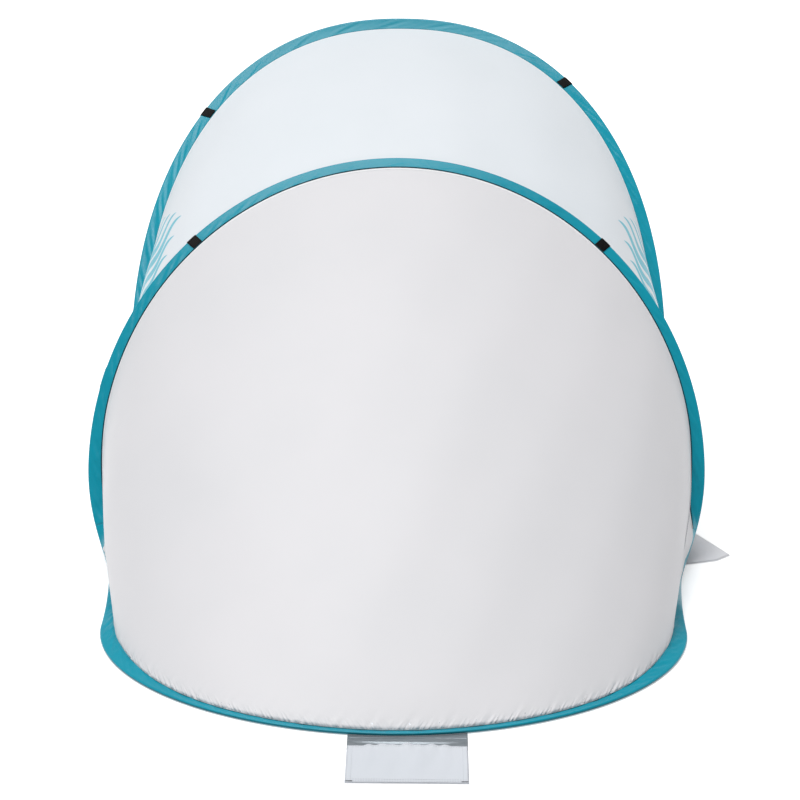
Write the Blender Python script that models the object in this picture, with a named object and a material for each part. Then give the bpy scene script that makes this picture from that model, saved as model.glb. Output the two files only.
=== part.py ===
# Pop-up beach tent: two sprung steel hoops, each bent at a waist line into a
# floor half and an arch, with fabric sewn between them.
# Metres, +Z up. The origin is the middle of the floor, on the ground.
# The entrance faces +Y and the rear panel faces -Y.

import math

import bmesh
import bpy
import numpy as np

# Overall sizes
floor_length = 2.00
tent_width = 1.20
entrance_height = 0.90

# Waist line, where both hoops bend and the tent folds
waist_from_rear = 0.787
waist_width = 1.11
rear_bend_radius = 0.12
front_bend_radius = 0.06

# Leaves: each half of a hoop is a flat curve through the waist line
rear_floor_width = 1.067
rear_floor_widest_at = 0.319
rear_floor_roundness_share = 1.945
front_floor_width = 1.11
front_floor_widest_at = 0.45
front_floor_roundness_share = 2.10
rear_arch_reach = 0.815
rear_arch_widest_at = 0.194
rear_arch_roundness_share = 1.985
rear_arch_angle = math.radians(61.7)
front_arch_width = 1.082
front_arch_widest_at = 0.52
front_arch_roundness_share = 2.224
front_arch_angle = math.radians(42.8)

# Sprung wire and the steel ferrule that joins its ends
wire_radius = 0.00175
ferrule_radius = 0.0029
ferrule_length = 0.036
wire_end_gap = 0.001
ferrule_place_share = 0.86

# Sleeve: a flat fabric tube with the wire in its outer edge
sleeve_width = 0.032
fabric = 0.0008
clearance = 0.0003
sleeve_edge_radius = 0.0030
sleeve_taper = 0.006
sleeve_taper_half = 0.0020
seam_half = 0.0008
seam_lap = 0.002
rear_sleeve_lean = math.radians(-31.5)

# Panels
rear_panel_crown = 0.045
roof_panel_crown = 0.012
gusset_crown = 0.004
rear_side_panel_share = 0.26

# Black grip bands round the sleeves, places as shares of the way along each arch
band_length = 0.030
band_thickness = 0.0010
band_seam_margin = 0.006
rear_band_right_share = 0.29
rear_band_left_share = 0.29
front_band_right_share = 0.36
front_band_left_share = 0.323

# Sand pocket behind the rear edge
rear_pocket_width = 0.200
rear_pocket_length = 0.172
rear_pocket_tab = 0.008
rear_pocket_side = 0.028
rear_pouch_setback = 0.034
rear_pouch_inset = 0.006
rear_pouch_rise = 0.014

# Sand pocket at the right side of the waist, folded under along its outer corner
side_pocket_length = 0.176
side_pocket_reach = 0.093
side_pocket_front = 0.197
side_pocket_gap = 0.0013
side_cover_inset = 0.003
side_cover_rise = 0.0012
side_tab_start = 0.017
side_tab_length = 0.062
side_pocket_shape_shares = ((0.0, 0.0), (0.43, 0.0), (1.0, 0.68), (0.71, 0.85), (0.0, 1.0))

# Mesh steps
leaf_steps = 40
bend_steps = 6
rear_panel_rows = 8
roof_panel_rows = 6
gusset_rows = 4
pouch_steps = 8
curve_samples = 400

# Places worked out from the sizes
waist_y = waist_from_rear - floor_length / 2
waist_z = sleeve_edge_radius
nose_reach = sleeve_edge_radius * math.cos(math.pi / 6)
seam_reach = sleeve_width - nose_reach
front_arch_reach = (entrance_height - waist_z) / math.sin(front_arch_angle)
front_floor_reach = floor_length - waist_from_rear
panel_offset = seam_half + clearance + fabric / 2
bore_radius = (wire_radius + clearance) / math.cos(math.pi / 8)
swollen_bore_radius = (ferrule_radius + clearance) / math.cos(math.pi / 8)
ferrule_swell = swollen_bore_radius - bore_radius
floor_tilt = math.asin((waist_z - seam_half) / seam_reach)
waist_half = waist_width / 2 - nose_reach
waist_point = np.array((0.0, waist_y, waist_z))
across = np.array((1.0, 0.0, 0.0))
mirror = np.array((-1.0, 1.0, 1.0))


def unit(vector):
    return vector / np.linalg.norm(vector)


def plane_directions(angle):
    """In-plane direction away from the waist, for a leaf at an angle above the front floor."""
    return np.array((0.0, math.cos(angle), math.sin(angle)))


class Station:
    """One place along a hoop: the wire's centre, with out across the sleeve's width and side across its thickness."""

    def __init__(self, point, along, out, side, swell=0.0):
        self.point = point
        self.along = along
        self.out = out
        self.side = side
        self.swell = swell

    def place(self, out, side):
        return self.point + out * self.out + side * self.side

    def seam(self, face):
        """Where a panel's mid surface meets the sleeve, on one face of its sewn edge."""
        return self.place(seam_lap - seam_reach, face * panel_offset)

    def inner_edge(self):
        """Where a sheet butts against the sleeve's sewn edge."""
        return self.place(-seam_reach - clearance, 0.0)

    def mirrored(self):
        return Station(self.point * mirror, self.along * mirror, self.out * mirror, self.side * mirror, self.swell)

    def toward(self, other, share):
        parts = [
            (1 - share) * getattr(self, name) + share * getattr(other, name)
            for name in ("point", "along", "out", "side")
        ]
        return Station(*parts)


class Leaf:
    """Half of a hoop: flat, starting where the waist bend ends, from the right side over its far end to the left."""

    def __init__(self, width, widest_at, reach, roundness, angle, face_up, start, lean=0.0, tilt=0.0):
        self.half = width / 2 - nose_reach
        self.widest_at = widest_at
        self.reach = reach - nose_reach
        self.roundness = roundness
        self.up = plane_directions(angle)
        self.normal = face_up * np.cross(across, self.up)
        self.start = start
        self.lean = lean
        self.tilt = tilt
        self.stations = self.make_stations()

    def curve(self):
        """Finely sampled half outline, as distance from the middle and distance from the waist line."""
        low = np.linspace(self.start, self.widest_at, curve_samples, endpoint=False)
        low_x = self.half - (self.half - waist_half) * ((self.widest_at - low) / self.widest_at) ** 2
        turn = np.linspace(0.0, math.pi / 2, curve_samples)
        high_x = self.half * np.cos(turn) ** (2 / self.roundness)
        high = self.widest_at + (self.reach - self.widest_at) * np.sin(turn) ** (2 / self.roundness)
        high_x[-1] = 0.0
        return np.concatenate((low_x, high_x)), np.concatenate((low, high))

    def make_stations(self):
        x, t = self.curve()
        run = np.concatenate(((0.0,), np.cumsum(np.hypot(np.diff(x), np.diff(t)))))
        even = np.linspace(0.0, run[-1], leaf_steps // 2 + 1)
        x, t = np.interp(even, run, x), np.interp(even, run, t)
        x = np.concatenate((x, -x[-2::-1]))
        t = np.concatenate((t, t[-2::-1]))
        points = waist_point + np.outer(x, across) + np.outer(t, self.up)
        return [self.station(points, i) for i in range(len(points))]

    def station(self, points, i):
        along = unit(points[min(i + 1, len(points) - 1)] - points[max(i - 1, 0)])
        outward = unit(np.cross(along, self.normal))
        if (outward @ across) * points[i][0] < 0 or (abs(points[i][0]) < clearance and outward @ self.up < 0):
            outward = -outward
        rise = max(outward @ self.up, 0.0)
        lean = math.atan2(math.sin(self.lean) * rise, 1 - (1 - math.cos(self.lean)) * rise ** 2)
        turn = lean + self.tilt
        out = math.cos(turn) * outward + math.sin(turn) * self.normal
        side = math.cos(turn) * self.normal - math.sin(turn) * outward
        return Station(points[i], along, out, side)


def bend_stations(arch, floor, radius, opening):
    """The right waist bend of a hoop, as a smooth curve from the arch's first station to the floor half's."""
    first, last = arch.stations[0], floor.stations[0]
    handle = 4 / 3 * math.tan((math.pi - opening) / 4) * radius
    a, d = first.point, last.point
    b, c = a - handle * first.along, d - handle * last.along
    stations = []
    trim = clearance / (opening * radius + 2 * handle)
    for u in np.linspace(trim, 1 - trim, bend_steps + 1):
        point = (1 - u) ** 3 * a + 3 * (1 - u) ** 2 * u * b + 3 * (1 - u) * u ** 2 * c + u ** 3 * d
        slope = (1 - u) ** 2 * (b - a) + 2 * (1 - u) * u * (c - b) + u ** 2 * (d - c)
        along = -unit(slope)
        normal = unit(np.cross(across, along))
        if normal @ ((1 - u) * first.side + u * last.side) < 0:
            normal = -normal
        outward = np.cross(along, normal)
        if outward @ across < 0:
            outward = -outward
        turn = u * floor.tilt
        out = math.cos(turn) * outward + math.sin(turn) * normal
        side = math.cos(turn) * normal - math.sin(turn) * outward
        stations.append(Station(point, along, out, side))
    return stations


class Hoop:
    """A closed wire hoop: a floor half, an arch and the two waist bends that join them."""

    def __init__(self, floor, arch, bend_radius, opening):
        self.floor = floor.stations
        self.arch = arch.stations
        self.right_bend = bend_stations(arch, floor, bend_radius, opening)
        self.left_bend = [s.mirrored() for s in self.right_bend]
        self.bends = (self.right_bend, self.left_bend)


def make_hoops():
    rear_opening = math.pi - rear_arch_angle
    rear_start = rear_bend_radius / math.tan(rear_opening / 2)
    front_start = front_bend_radius / math.tan(front_arch_angle / 2)
    rear = Hoop(
        Leaf(rear_floor_width, rear_floor_widest_at, waist_from_rear, rear_floor_roundness_share, math.pi, -1,
             rear_start, tilt=floor_tilt),
        Leaf(tent_width, rear_arch_widest_at, rear_arch_reach, rear_arch_roundness_share, rear_arch_angle, 1,
             rear_start, lean=rear_sleeve_lean),
        rear_bend_radius,
        rear_opening,
    )
    front = Hoop(
        Leaf(front_floor_width, front_floor_widest_at, front_floor_reach, front_floor_roundness_share, 0.0, -1,
             front_start, tilt=-floor_tilt),
        Leaf(front_arch_width, front_arch_widest_at, front_arch_reach, front_arch_roundness_share,
             front_arch_angle, 1, front_start),
        front_bend_radius,
        front_arch_angle,
    )
    return rear, front


# Cross-sections, as (out, side) pairs
def octagon(radius):
    turns = (67.5, 22.5, -22.5, -67.5, -112.5, -157.5, 157.5, 112.5)
    return [(radius * math.cos(math.radians(a)), radius * math.sin(math.radians(a))) for a in turns]


def hexagon(radius):
    return [(radius * math.cos(math.radians(a)), radius * math.sin(math.radians(a))) for a in range(0, -360, -60)]


def sleeve_section(swell):
    nose = sleeve_edge_radius + swell
    round_part = [(nose * math.cos(math.radians(a)), nose * math.sin(math.radians(a))) for a in (90, 30, -30, -90)]
    return round_part + [
        (-sleeve_taper, -sleeve_taper_half),
        (-seam_reach, -seam_half),
        (-seam_reach, seam_half),
        (-sleeve_taper, sleeve_taper_half),
    ]


def sleeve_bore(swell):
    return octagon(bore_radius + swell)


# Mesh making
def add_ring(mesh, station, section):
    return [mesh.verts.new(station.place(out, side)) for out, side in section]


def join_rings(mesh, first, second):
    count = len(first)
    for i in range(count):
        j = (i + 1) % count
        mesh.faces.new((first[i], first[j], second[j], second[i]))


def sweep(mesh, stations, section, bore=None):
    """A solid along the stations, with an open bore when one is given."""
    outer = [add_ring(mesh, s, section(s.swell)) for s in stations]
    for first, second in zip(outer, outer[1:]):
        join_rings(mesh, first, second)
    if bore is None:
        mesh.faces.new(outer[0][::-1])
        mesh.faces.new(outer[-1])
        return
    inner = [add_ring(mesh, s, bore(s.swell)) for s in stations]
    for first, second in zip(inner, inner[1:]):
        join_rings(mesh, second, first)
    join_rings(mesh, inner[0], outer[0])
    join_rings(mesh, outer[-1], inner[-1])


def sheet_solid(mesh, grid, thickness):
    """A closed fabric sheet whose mid surface is a grid of points."""
    grid = np.asarray(grid)
    along = np.gradient(grid, axis=0)
    over = np.gradient(grid, axis=1)
    normal = np.cross(along, over)
    normal /= np.linalg.norm(normal, axis=2, keepdims=True)
    columns, rows = grid.shape[:2]
    top = [[mesh.verts.new(p) for p in line] for line in grid + normal * thickness / 2]
    low = [[mesh.verts.new(p) for p in line] for line in grid - normal * thickness / 2]
    for i in range(columns - 1):
        for j in range(rows - 1):
            mesh.faces.new((top[i][j], top[i + 1][j], top[i + 1][j + 1], top[i][j + 1]))
            mesh.faces.new((low[i][j], low[i][j + 1], low[i + 1][j + 1], low[i + 1][j]))
    rim = [(i, 0) for i in range(columns)] + [(columns - 1, j) for j in range(1, rows)]
    rim += [(i, rows - 1) for i in range(columns - 2, -1, -1)] + [(0, j) for j in range(rows - 2, 0, -1)]
    for (a, b), (c, d) in zip(rim, rim[1:] + rim[:1]):
        mesh.faces.new((top[a][b], low[a][b], low[c][d], top[c][d]))


def slab(mesh, outline, low, high):
    """A flat sheet: an outline of (x, y) pairs between two heights."""
    top = [mesh.verts.new((x, y, high)) for x, y in outline]
    bottom = [mesh.verts.new((x, y, low)) for x, y in outline]
    join_rings(mesh, top, bottom)
    mesh.faces.new(top[::-1])
    mesh.faces.new(bottom)


def grown(points, distance):
    """An open line of points moved sideways by a distance, with mitred corners."""
    points = np.asarray(points)
    steps = np.diff(points, axis=0)
    normals = np.stack((-steps[:, 1], steps[:, 0]), axis=1)
    normals /= np.linalg.norm(normals, axis=1, keepdims=True)
    before = np.vstack((normals[:1], normals))
    after = np.vstack((normals, normals[-1:]))
    mitre = before + after
    mitre /= (1 + np.sum(before * after, axis=1, keepdims=True))
    return points + mitre * distance


# Objects
def make_material(name, colour, roughness, metallic=0.0):
    material = bpy.data.materials.new(name)
    material.use_nodes = True
    shader = material.node_tree.nodes["Principled BSDF"]
    shader.inputs["Base Color"].default_value = (*colour, 1.0)
    shader.inputs["Roughness"].default_value = roughness
    shader.inputs["Metallic"].default_value = metallic
    material.diffuse_color = (*colour, 1.0)
    return material


def make_pivot(name, place, parent=None):
    """An empty on a joint's axis, which the pieces of one moving body hang from."""
    pivot = bpy.data.objects.new(name, None)
    bpy.context.scene.collection.objects.link(pivot)
    pivot.location = place
    if parent is not None:
        pivot.parent = parent
        pivot.location = place - np.array(world_place(parent))
    return pivot


def world_place(pivot):
    place = np.zeros(3)
    while pivot is not None:
        place = place + np.array(pivot.location)
        pivot = pivot.parent
    return place


def add_object(name, build, material, pivot=None):
    """One named sub-part. build fills an empty mesh in world places."""
    shape = bmesh.new()
    build(shape)
    bmesh.ops.recalc_face_normals(shape, faces=shape.faces)
    origin = world_place(pivot)
    bmesh.ops.translate(shape, vec=-origin, verts=shape.verts)
    data = bpy.data.meshes.new(name)
    shape.to_mesh(data)
    shape.free()
    data.materials.append(material)
    data.shade_smooth()
    data.set_sharp_from_angle(angle=math.radians(35))
    piece = bpy.data.objects.new(name, data)
    bpy.context.scene.collection.objects.link(piece)
    piece.parent = pivot
    return piece


# Wires, ferrules and sleeves
def ferrule_segment(stations):
    """The straight run between two stations where the wire's ends meet."""
    index = int(ferrule_place_share * (len(stations) - 1))
    return index, stations[index], stations[index + 1]


def run_share(first, second, distance):
    return distance / np.linalg.norm(second.point - first.point)


def split_stations(stations):
    """The two lengths of wire that meet in the ferrule."""
    index, first, second = ferrule_segment(stations)
    half_gap = run_share(first, second, wire_end_gap / 2)
    before = stations[: index + 1] + [first.toward(second, 0.5 - half_gap)]
    after = [first.toward(second, 0.5 + half_gap)] + stations[index + 1:]
    return before, after


def swollen_stations(stations):
    """The arch's stations, with a swelling where the ferrule sits in the sleeve."""
    index, first, second = ferrule_segment(stations)
    half = run_share(first, second, ferrule_length / 2)
    ease = run_share(first, second, sleeve_edge_radius)
    lump = []
    for share, swell in ((0.5 - half - 2 * ease, 0.0), (0.5 - half - ease, ferrule_swell),
                         (0.5 + half + ease, ferrule_swell), (0.5 + half + 2 * ease, 0.0)):
        station = first.toward(second, share)
        station.swell = swell
        lump.append(station)
    return stations[: index + 1] + lump + stations[index + 1:]


def ferrule(mesh, stations):
    index, first, second = ferrule_segment(stations)
    half = run_share(first, second, ferrule_length / 2)
    ends = [first.toward(second, 0.5 - half), first.toward(second, 0.5 + half)]
    sweep(mesh, ends, lambda swell: octagon(ferrule_radius), lambda swell: octagon(bore_radius))


def plain_wire(mesh, stations):
    sweep(mesh, stations, lambda swell: hexagon(wire_radius))


def sleeve(mesh, stations):
    sweep(mesh, stations, sleeve_section, sleeve_bore)


def add_hoop(name, hoop, steel, cloth, floor_pivot, arch_pivot):
    add_object(f"{name}_floor_wire", lambda m: plain_wire(m, hoop.floor), steel, floor_pivot)
    add_object(f"{name}_floor_sleeve", lambda m: sleeve(m, hoop.floor), cloth, floor_pivot)
    for side, length in zip(("right", "left"), split_stations(hoop.arch)):
        add_object(f"{name}_arch_wire_{side}", lambda m: plain_wire(m, length), steel, arch_pivot)
    add_object(f"{name}_ferrule", lambda m: ferrule(m, hoop.arch), steel, arch_pivot)
    add_object(f"{name}_arch_sleeve", lambda m: sleeve(m, swollen_stations(hoop.arch)), cloth, arch_pivot)
    for side, bend in zip(("right", "left"), hoop.bends):
        add_object(f"{name}_waist_wire_{side}", lambda m: plain_wire(m, bend), steel, floor_pivot)
        add_object(f"{name}_waist_sleeve_{side}", lambda m: sleeve(m, bend), cloth, floor_pivot)


# Grip bands
def band_section():
    """A strap folded round the sleeve's outer edge and open at the seam."""
    stop = -(seam_reach - band_seam_margin)
    share = (stop + sleeve_taper) / (sleeve_taper - seam_reach)
    stop_half = sleeve_taper_half + share * (seam_half - sleeve_taper_half)
    line = [(stop, stop_half)] + [sleeve_section(0.0)[7]] + sleeve_section(0.0)[:5] + [(stop, -stop_half)]
    inner = grown(line, clearance)
    outer = grown(line, clearance + band_thickness)
    return inner, outer


def band(mesh, stations, share):
    position = share * (len(stations) - 1)
    index = int(position)
    first, second = stations[index], stations[index + 1]
    half = run_share(first, second, band_length / 2)
    inner, outer = band_section()
    rings = []
    for place in (0.5 - half, 0.5 + half):
        station = first.toward(second, place)
        rings.append([[mesh.verts.new(station.place(o, s)) for o, s in line] for line in (inner, outer)])
    (in_a, out_a), (in_b, out_b) = rings
    last = len(in_a) - 1
    for i in range(last):
        mesh.faces.new((in_a[i], in_a[i + 1], in_b[i + 1], in_b[i]))
        mesh.faces.new((out_a[i], out_b[i], out_b[i + 1], out_a[i + 1]))
        mesh.faces.new((in_a[i], out_a[i], out_a[i + 1], in_a[i + 1]))
        mesh.faces.new((in_b[i], in_b[i + 1], out_b[i + 1], out_b[i]))
    mesh.faces.new((in_a[0], in_b[0], out_b[0], out_a[0]))
    mesh.faces.new((in_a[last], out_a[last], out_b[last], in_b[last]))


# Panels
def panel_grid(low_line, high_line, rows, crown, outward):
    """Points between two seams, swelling outward in the middle."""
    low_line, high_line = np.asarray(low_line), np.asarray(high_line)
    share = np.linspace(0.0, 1.0, rows + 1)[None, :, None]
    grid = (1 - share) * low_line[:, None, :] + share * high_line[:, None, :]
    chord = high_line - low_line
    length = np.linalg.norm(chord, axis=1)
    along = np.gradient(0.5 * (low_line + high_line), axis=0)
    normal = np.cross(along, chord)
    normal /= np.linalg.norm(normal, axis=1, keepdims=True)
    normal *= np.sign(normal @ outward)[:, None]
    normal[:, 0] = np.abs(normal[:, 0]) * np.sign(low_line[:, 0])
    swell = crown * (length / length.max())
    return grid + np.sin(math.pi * share) * swell[:, None, None] * normal[:, None, :]


def rear_seams(rear):
    """Right-to-left seam lines of the rear wall on the floor half and on the arch, bends included."""
    right = [(rear.right_bend[bend_steps - i], rear.right_bend[i]) for i in range(2, -1, -1)]
    left = [(rear.left_bend[bend_steps - i], rear.left_bend[i]) for i in range(0, 3)]
    lines = right + list(zip(rear.floor, rear.arch)) + left
    return [low.seam(1) for low, high in lines], [high.seam(1) for low, high in lines]


def side_panel_columns(columns):
    return int(rear_side_panel_share * (columns - 1) / 2) + 1


def pulled_in(grid, at_start, at_end):
    """Draws a grid's end columns back by half a seam gap, so that sewn neighbours don't touch."""
    grid = grid.copy()
    for wanted, end, near in ((at_start, 0, 1), (at_end, -1, -2)):
        if wanted:
            step = grid[near] - grid[end]
            grid[end] += step * (clearance / 2) / np.linalg.norm(step, axis=1, keepdims=True)
    return grid


def add_rear_wall(rear, cloth, pivot):
    low, high = rear_seams(rear)
    grid = panel_grid(low, high, rear_panel_rows, rear_panel_crown, np.array((0.0, -1.0, 1.0)))
    split = side_panel_columns(len(grid))
    parts = (
        ("rear_side_panel_right", pulled_in(grid[: split + 1], False, True)),
        ("rear_panel", pulled_in(grid[split: len(grid) - split], True, True)),
        ("rear_side_panel_left", pulled_in(grid[len(grid) - split - 1:], True, False)),
    )
    for name, part in parts:
        add_object(name, lambda m: sheet_solid(m, part, fabric), cloth, pivot)


def add_roof(rear, front, cloth, pivot):
    low = [s.seam(-1) for s in rear.arch]
    high = [s.seam(1) for s in front.arch]
    grid = panel_grid(low, high, roof_panel_rows, roof_panel_crown, np.array((0.0, -1.0, 1.0)))
    add_object("roof_panel", lambda m: sheet_solid(m, pulled_in(grid, True, True), fabric), cloth, pivot)


def gusset_grid(rear_bend, front_bend, floor_side):
    """The small wall between the two waist bends, down to the floor's edge."""
    side = math.copysign(1.0, rear_bend[0].point[0])
    used = bend_steps - 1
    low = [s.seam(-1) for s in rear_bend[:used]]
    high = [s.seam(1) for s in front_bend[:used]]
    hem_height = fabric + clearance + fabric / 2
    hem_x = side * (floor_side + clearance + fabric / 2)
    low.append(np.array((hem_x, low[-1][1], hem_height)))
    high.append(np.array((hem_x, front_bend[used].point[1], hem_height)))
    return panel_grid(low, high, gusset_rows, gusset_crown, np.array((side, 0.0, 0.0)))


def add_gussets(rear, front, cloth):
    floor_side = abs(front.floor[0].inner_edge()[0])
    for side, rear_bend, front_bend in zip(("right", "left"), rear.bends, front.bends):
        grid = pulled_in(gusset_grid(rear_bend, front_bend, floor_side), True, False)
        add_object(f"corner_gusset_{side}", lambda m: sheet_solid(m, grid, fabric), cloth)


# Floor
def floor_outline(stations, fold_y):
    """The sheet's edge along the sewn sleeve, closed along the fold line at the waist."""
    edge = [s.inner_edge() for s in stations]
    outline = [(p[0], p[1]) for p in edge]
    return [(outline[0][0], fold_y)] + outline + [(outline[-1][0], fold_y)]


def add_floor(rear, front, cloth, rear_pivot):
    gap = clearance / 2
    front_outline = floor_outline(front.floor, waist_y + gap)
    rear_outline = floor_outline(rear.floor, waist_y - gap)
    add_object("floor_sheet_front", lambda m: slab(m, front_outline, 0.0, fabric), cloth)
    add_object("floor_sheet_rear", lambda m: slab(m, rear_outline, 0.0, fabric), cloth, rear_pivot)


# Sand pockets
def rear_hinge_y():
    return -floor_length / 2 - rear_pocket_tab


def add_rear_pocket_tab(rear, cloth, pivot):
    """The strip that joins the pocket to the curved rear edge."""
    half = rear_pocket_width / 2
    wire = np.array([s.point for s in rear.floor])
    order = np.argsort(wire[:, 0])
    xs = rear_pocket_side + np.linspace(-half, half, pouch_steps + 1)
    ys = np.interp(xs, wire[order, 0], wire[order, 1]) - nose_reach
    edge = rear_hinge_y() + clearance / 2
    outline = [(x, y - clearance) for x, y in zip(xs, ys)] + [(xs[-1], edge), (xs[0], edge)]
    add_object("rear_pocket_tab", lambda m: slab(m, outline, 0.0, fabric), cloth, pivot)


def rear_pouch_grid():
    """The pocket's upper layer: flat at its sewn edges and arched at its mouth."""
    half = rear_pocket_width / 2 - rear_pouch_inset
    mouth = rear_hinge_y() - rear_pouch_setback
    end = rear_hinge_y() - rear_pocket_length + rear_pouch_inset
    base = fabric + clearance + fabric / 2
    grid = []
    for a in np.linspace(-1.0, 1.0, pouch_steps + 1):
        column = []
        for b in np.linspace(0.0, 1.0, pouch_steps // 2 + 1):
            rise = rear_pouch_rise * (1 - a * a) * math.cos(b * math.pi / 2)
            column.append((rear_pocket_side + a * half, mouth + b * (end - mouth), base + rise))
        grid.append(column)
    return grid


def add_rear_pocket(cloth, pivot):
    half = rear_pocket_width / 2
    start = rear_hinge_y() - clearance / 2
    end = rear_hinge_y() - rear_pocket_length
    left, right = rear_pocket_side - half, rear_pocket_side + half
    outline = [(left, start), (right, start), (right, end), (left, end)]
    add_object("rear_pocket_base", lambda m: slab(m, outline, 0.0, fabric), cloth, pivot)
    add_object("rear_pocket_pouch", lambda m: sheet_solid(m, rear_pouch_grid(), fabric), cloth, pivot)


def side_pocket_hinge():
    widest = max(waist_width, front_floor_width)
    return np.array((widest / 2 + side_pocket_gap, waist_y + side_pocket_front, fabric))


def side_pocket_outline(inset):
    hinge = side_pocket_hinge()
    points = np.array([(hinge[0] + a * side_pocket_reach, hinge[1] - b * side_pocket_length)
                       for a, b in side_pocket_shape_shares])
    middle = points.mean(axis=0)
    away = points - middle
    return middle + away * (1 - inset / np.linalg.norm(away, axis=1, keepdims=True))


def side_cover(mesh):
    """The folded-over layer: a low crown inside the base's outline."""
    outline = side_pocket_outline(side_cover_inset)
    middle = outline.mean(axis=0)
    low = fabric + clearance
    for_top = [[mesh.verts.new((*(middle + (p - middle) * share), low + fabric + rise * side_cover_rise))
                for p in outline] for share, rise in ((1.0, 0.0), (0.6, 0.75))]
    peak = mesh.verts.new((*middle, low + fabric + side_cover_rise))
    bottom = [mesh.verts.new((*p, low)) for p in outline]
    join_rings(mesh, for_top[0], bottom)
    join_rings(mesh, for_top[1], for_top[0])
    mesh.faces.new(bottom)
    for a, b in zip(for_top[1], for_top[1][1:] + for_top[1][:1]):
        mesh.faces.new((peak, b, a))


def add_side_pocket(front, cloth, pivot):
    hinge = side_pocket_hinge()
    inner = abs(front.floor[0].inner_edge()[0]) + clearance
    outer = hinge[0] - clearance
    far = hinge[1] - side_pocket_length + side_tab_start
    strip = [(inner, far), (outer, far), (outer, far + side_tab_length), (inner, far + side_tab_length)]
    add_object("side_pocket_tab", lambda m: slab(m, strip, 0.0, fabric), cloth)
    base = [tuple(p) for p in side_pocket_outline(0.0)]
    add_object("side_pocket_base", lambda m: slab(m, base, 0.0, fabric), cloth, pivot)
    add_object("side_pocket_cover", side_cover, cloth, pivot)


def add_bands(name, stations, right_share, left_share, cloth, pivot):
    add_object(f"{name}_band_right", lambda m: band(m, stations, right_share), cloth, pivot)
    add_object(f"{name}_band_left", lambda m: band(m, stations, 1 - left_share), cloth, pivot)


def build_tent():
    for old in list(bpy.data.objects):
        bpy.data.objects.remove(old, do_unlink=True)
    steel = make_material("spring_steel", (0.42, 0.42, 0.44), 0.35, 1.0)
    teal = make_material("teal_polyester", (0.05, 0.42, 0.50), 0.6)
    white = make_material("white_polyester", (0.80, 0.84, 0.87), 0.6)
    grey = make_material("coated_polyester", (0.76, 0.77, 0.79), 0.55)
    ground = make_material("floor_sheet", (0.55, 0.57, 0.60), 0.5)
    black = make_material("black_webbing", (0.02, 0.02, 0.02), 0.7)
    rear, front = make_hoops()
    front_arch = make_pivot("front_arch_pivot", waist_point)
    rear_arch = make_pivot("rear_arch_pivot", waist_point, front_arch)
    rear_floor = make_pivot("rear_floor_pivot", waist_point, rear_arch)
    rear_pocket = make_pivot("rear_pocket_pivot", np.array((0.0, rear_hinge_y(), fabric)), rear_floor)
    side_pocket = make_pivot("side_pocket_pivot", side_pocket_hinge())
    add_hoop("rear_hoop", rear, steel, teal, rear_floor, rear_arch)
    add_hoop("front_hoop", front, steel, teal, None, front_arch)
    add_bands("rear_hoop", rear.arch, rear_band_right_share, rear_band_left_share, black, rear_arch)
    add_bands("front_hoop", front.arch, front_band_right_share, front_band_left_share, black, front_arch)
    add_rear_wall(rear, grey, rear_arch)
    add_roof(rear, front, white, front_arch)
    add_gussets(rear, front, white)
    add_floor(rear, front, ground, rear_floor)
    add_rear_pocket_tab(rear, grey, rear_floor)
    add_rear_pocket(grey, rear_pocket)
    add_side_pocket(front, grey, side_pocket)


build_tent()
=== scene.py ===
# %% [markdown]
# # A pop-up beach tent
# Two sprung steel hoops run in teal fabric sleeves. Each hoop is bent at a waist line, so that one half
# lies on the ground and the other stands up as an arch. Thin coated polyester is sewn between them.
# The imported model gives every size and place. This file makes the cloth, thread, webbing and wire.

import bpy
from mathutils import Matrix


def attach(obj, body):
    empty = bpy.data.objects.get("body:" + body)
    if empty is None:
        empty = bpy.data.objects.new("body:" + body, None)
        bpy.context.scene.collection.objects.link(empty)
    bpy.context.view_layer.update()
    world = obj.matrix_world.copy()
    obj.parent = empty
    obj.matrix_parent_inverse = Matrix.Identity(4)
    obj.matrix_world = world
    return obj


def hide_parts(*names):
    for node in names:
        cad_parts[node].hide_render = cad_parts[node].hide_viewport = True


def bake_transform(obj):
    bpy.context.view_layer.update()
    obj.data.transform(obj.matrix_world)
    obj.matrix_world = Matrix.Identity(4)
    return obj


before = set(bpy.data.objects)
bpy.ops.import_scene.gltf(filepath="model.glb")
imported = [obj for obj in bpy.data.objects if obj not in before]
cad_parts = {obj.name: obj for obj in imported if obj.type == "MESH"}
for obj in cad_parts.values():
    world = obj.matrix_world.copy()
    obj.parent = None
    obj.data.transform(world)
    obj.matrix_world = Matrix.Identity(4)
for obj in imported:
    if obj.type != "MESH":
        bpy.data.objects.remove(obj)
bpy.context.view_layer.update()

import math

import bpy
import numpy as np
from mathutils import Matrix
from mathutils.kdtree import KDTree

# %% [markdown]
# ## Sizes
# The hoops are the skeleton of everything. Each half of a hoop, called a leaf here, is a flat curve in its
# own plane through the waist line. The same few numbers draw all four leaves, so the cloth made from them
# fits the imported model.

# %% Sizes of the hoops and the sleeve
floor_length = 2.00
tent_height = 0.90
waist_from_rear = 0.787
waist_width = 1.11
sleeve_width = 0.032
nose_radius = 0.003
fabric = 0.0008
clearance = 0.0003
seam_half = 0.0008
seam_lap = 0.002
waist_height = nose_radius
nose_reach = nose_radius * math.cos(math.pi / 6)
seam_reach = sleeve_width - nose_reach
panel_offset = seam_half + clearance + fabric / 2
floor_tilt = math.asin((waist_height - seam_half) / seam_reach)
rear_angle = math.radians(61.7)
front_angle = math.radians(42.8)
front_arch_reach = (tent_height - waist_height) / math.sin(front_angle)
waist_point = np.array((0.0, waist_from_rear - floor_length / 2, waist_height))
across = np.array((1.0, 0.0, 0.0))
mirror = np.array((-1.0, 1.0, 1.0))
print("waist line at", waist_point.round(4))

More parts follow.
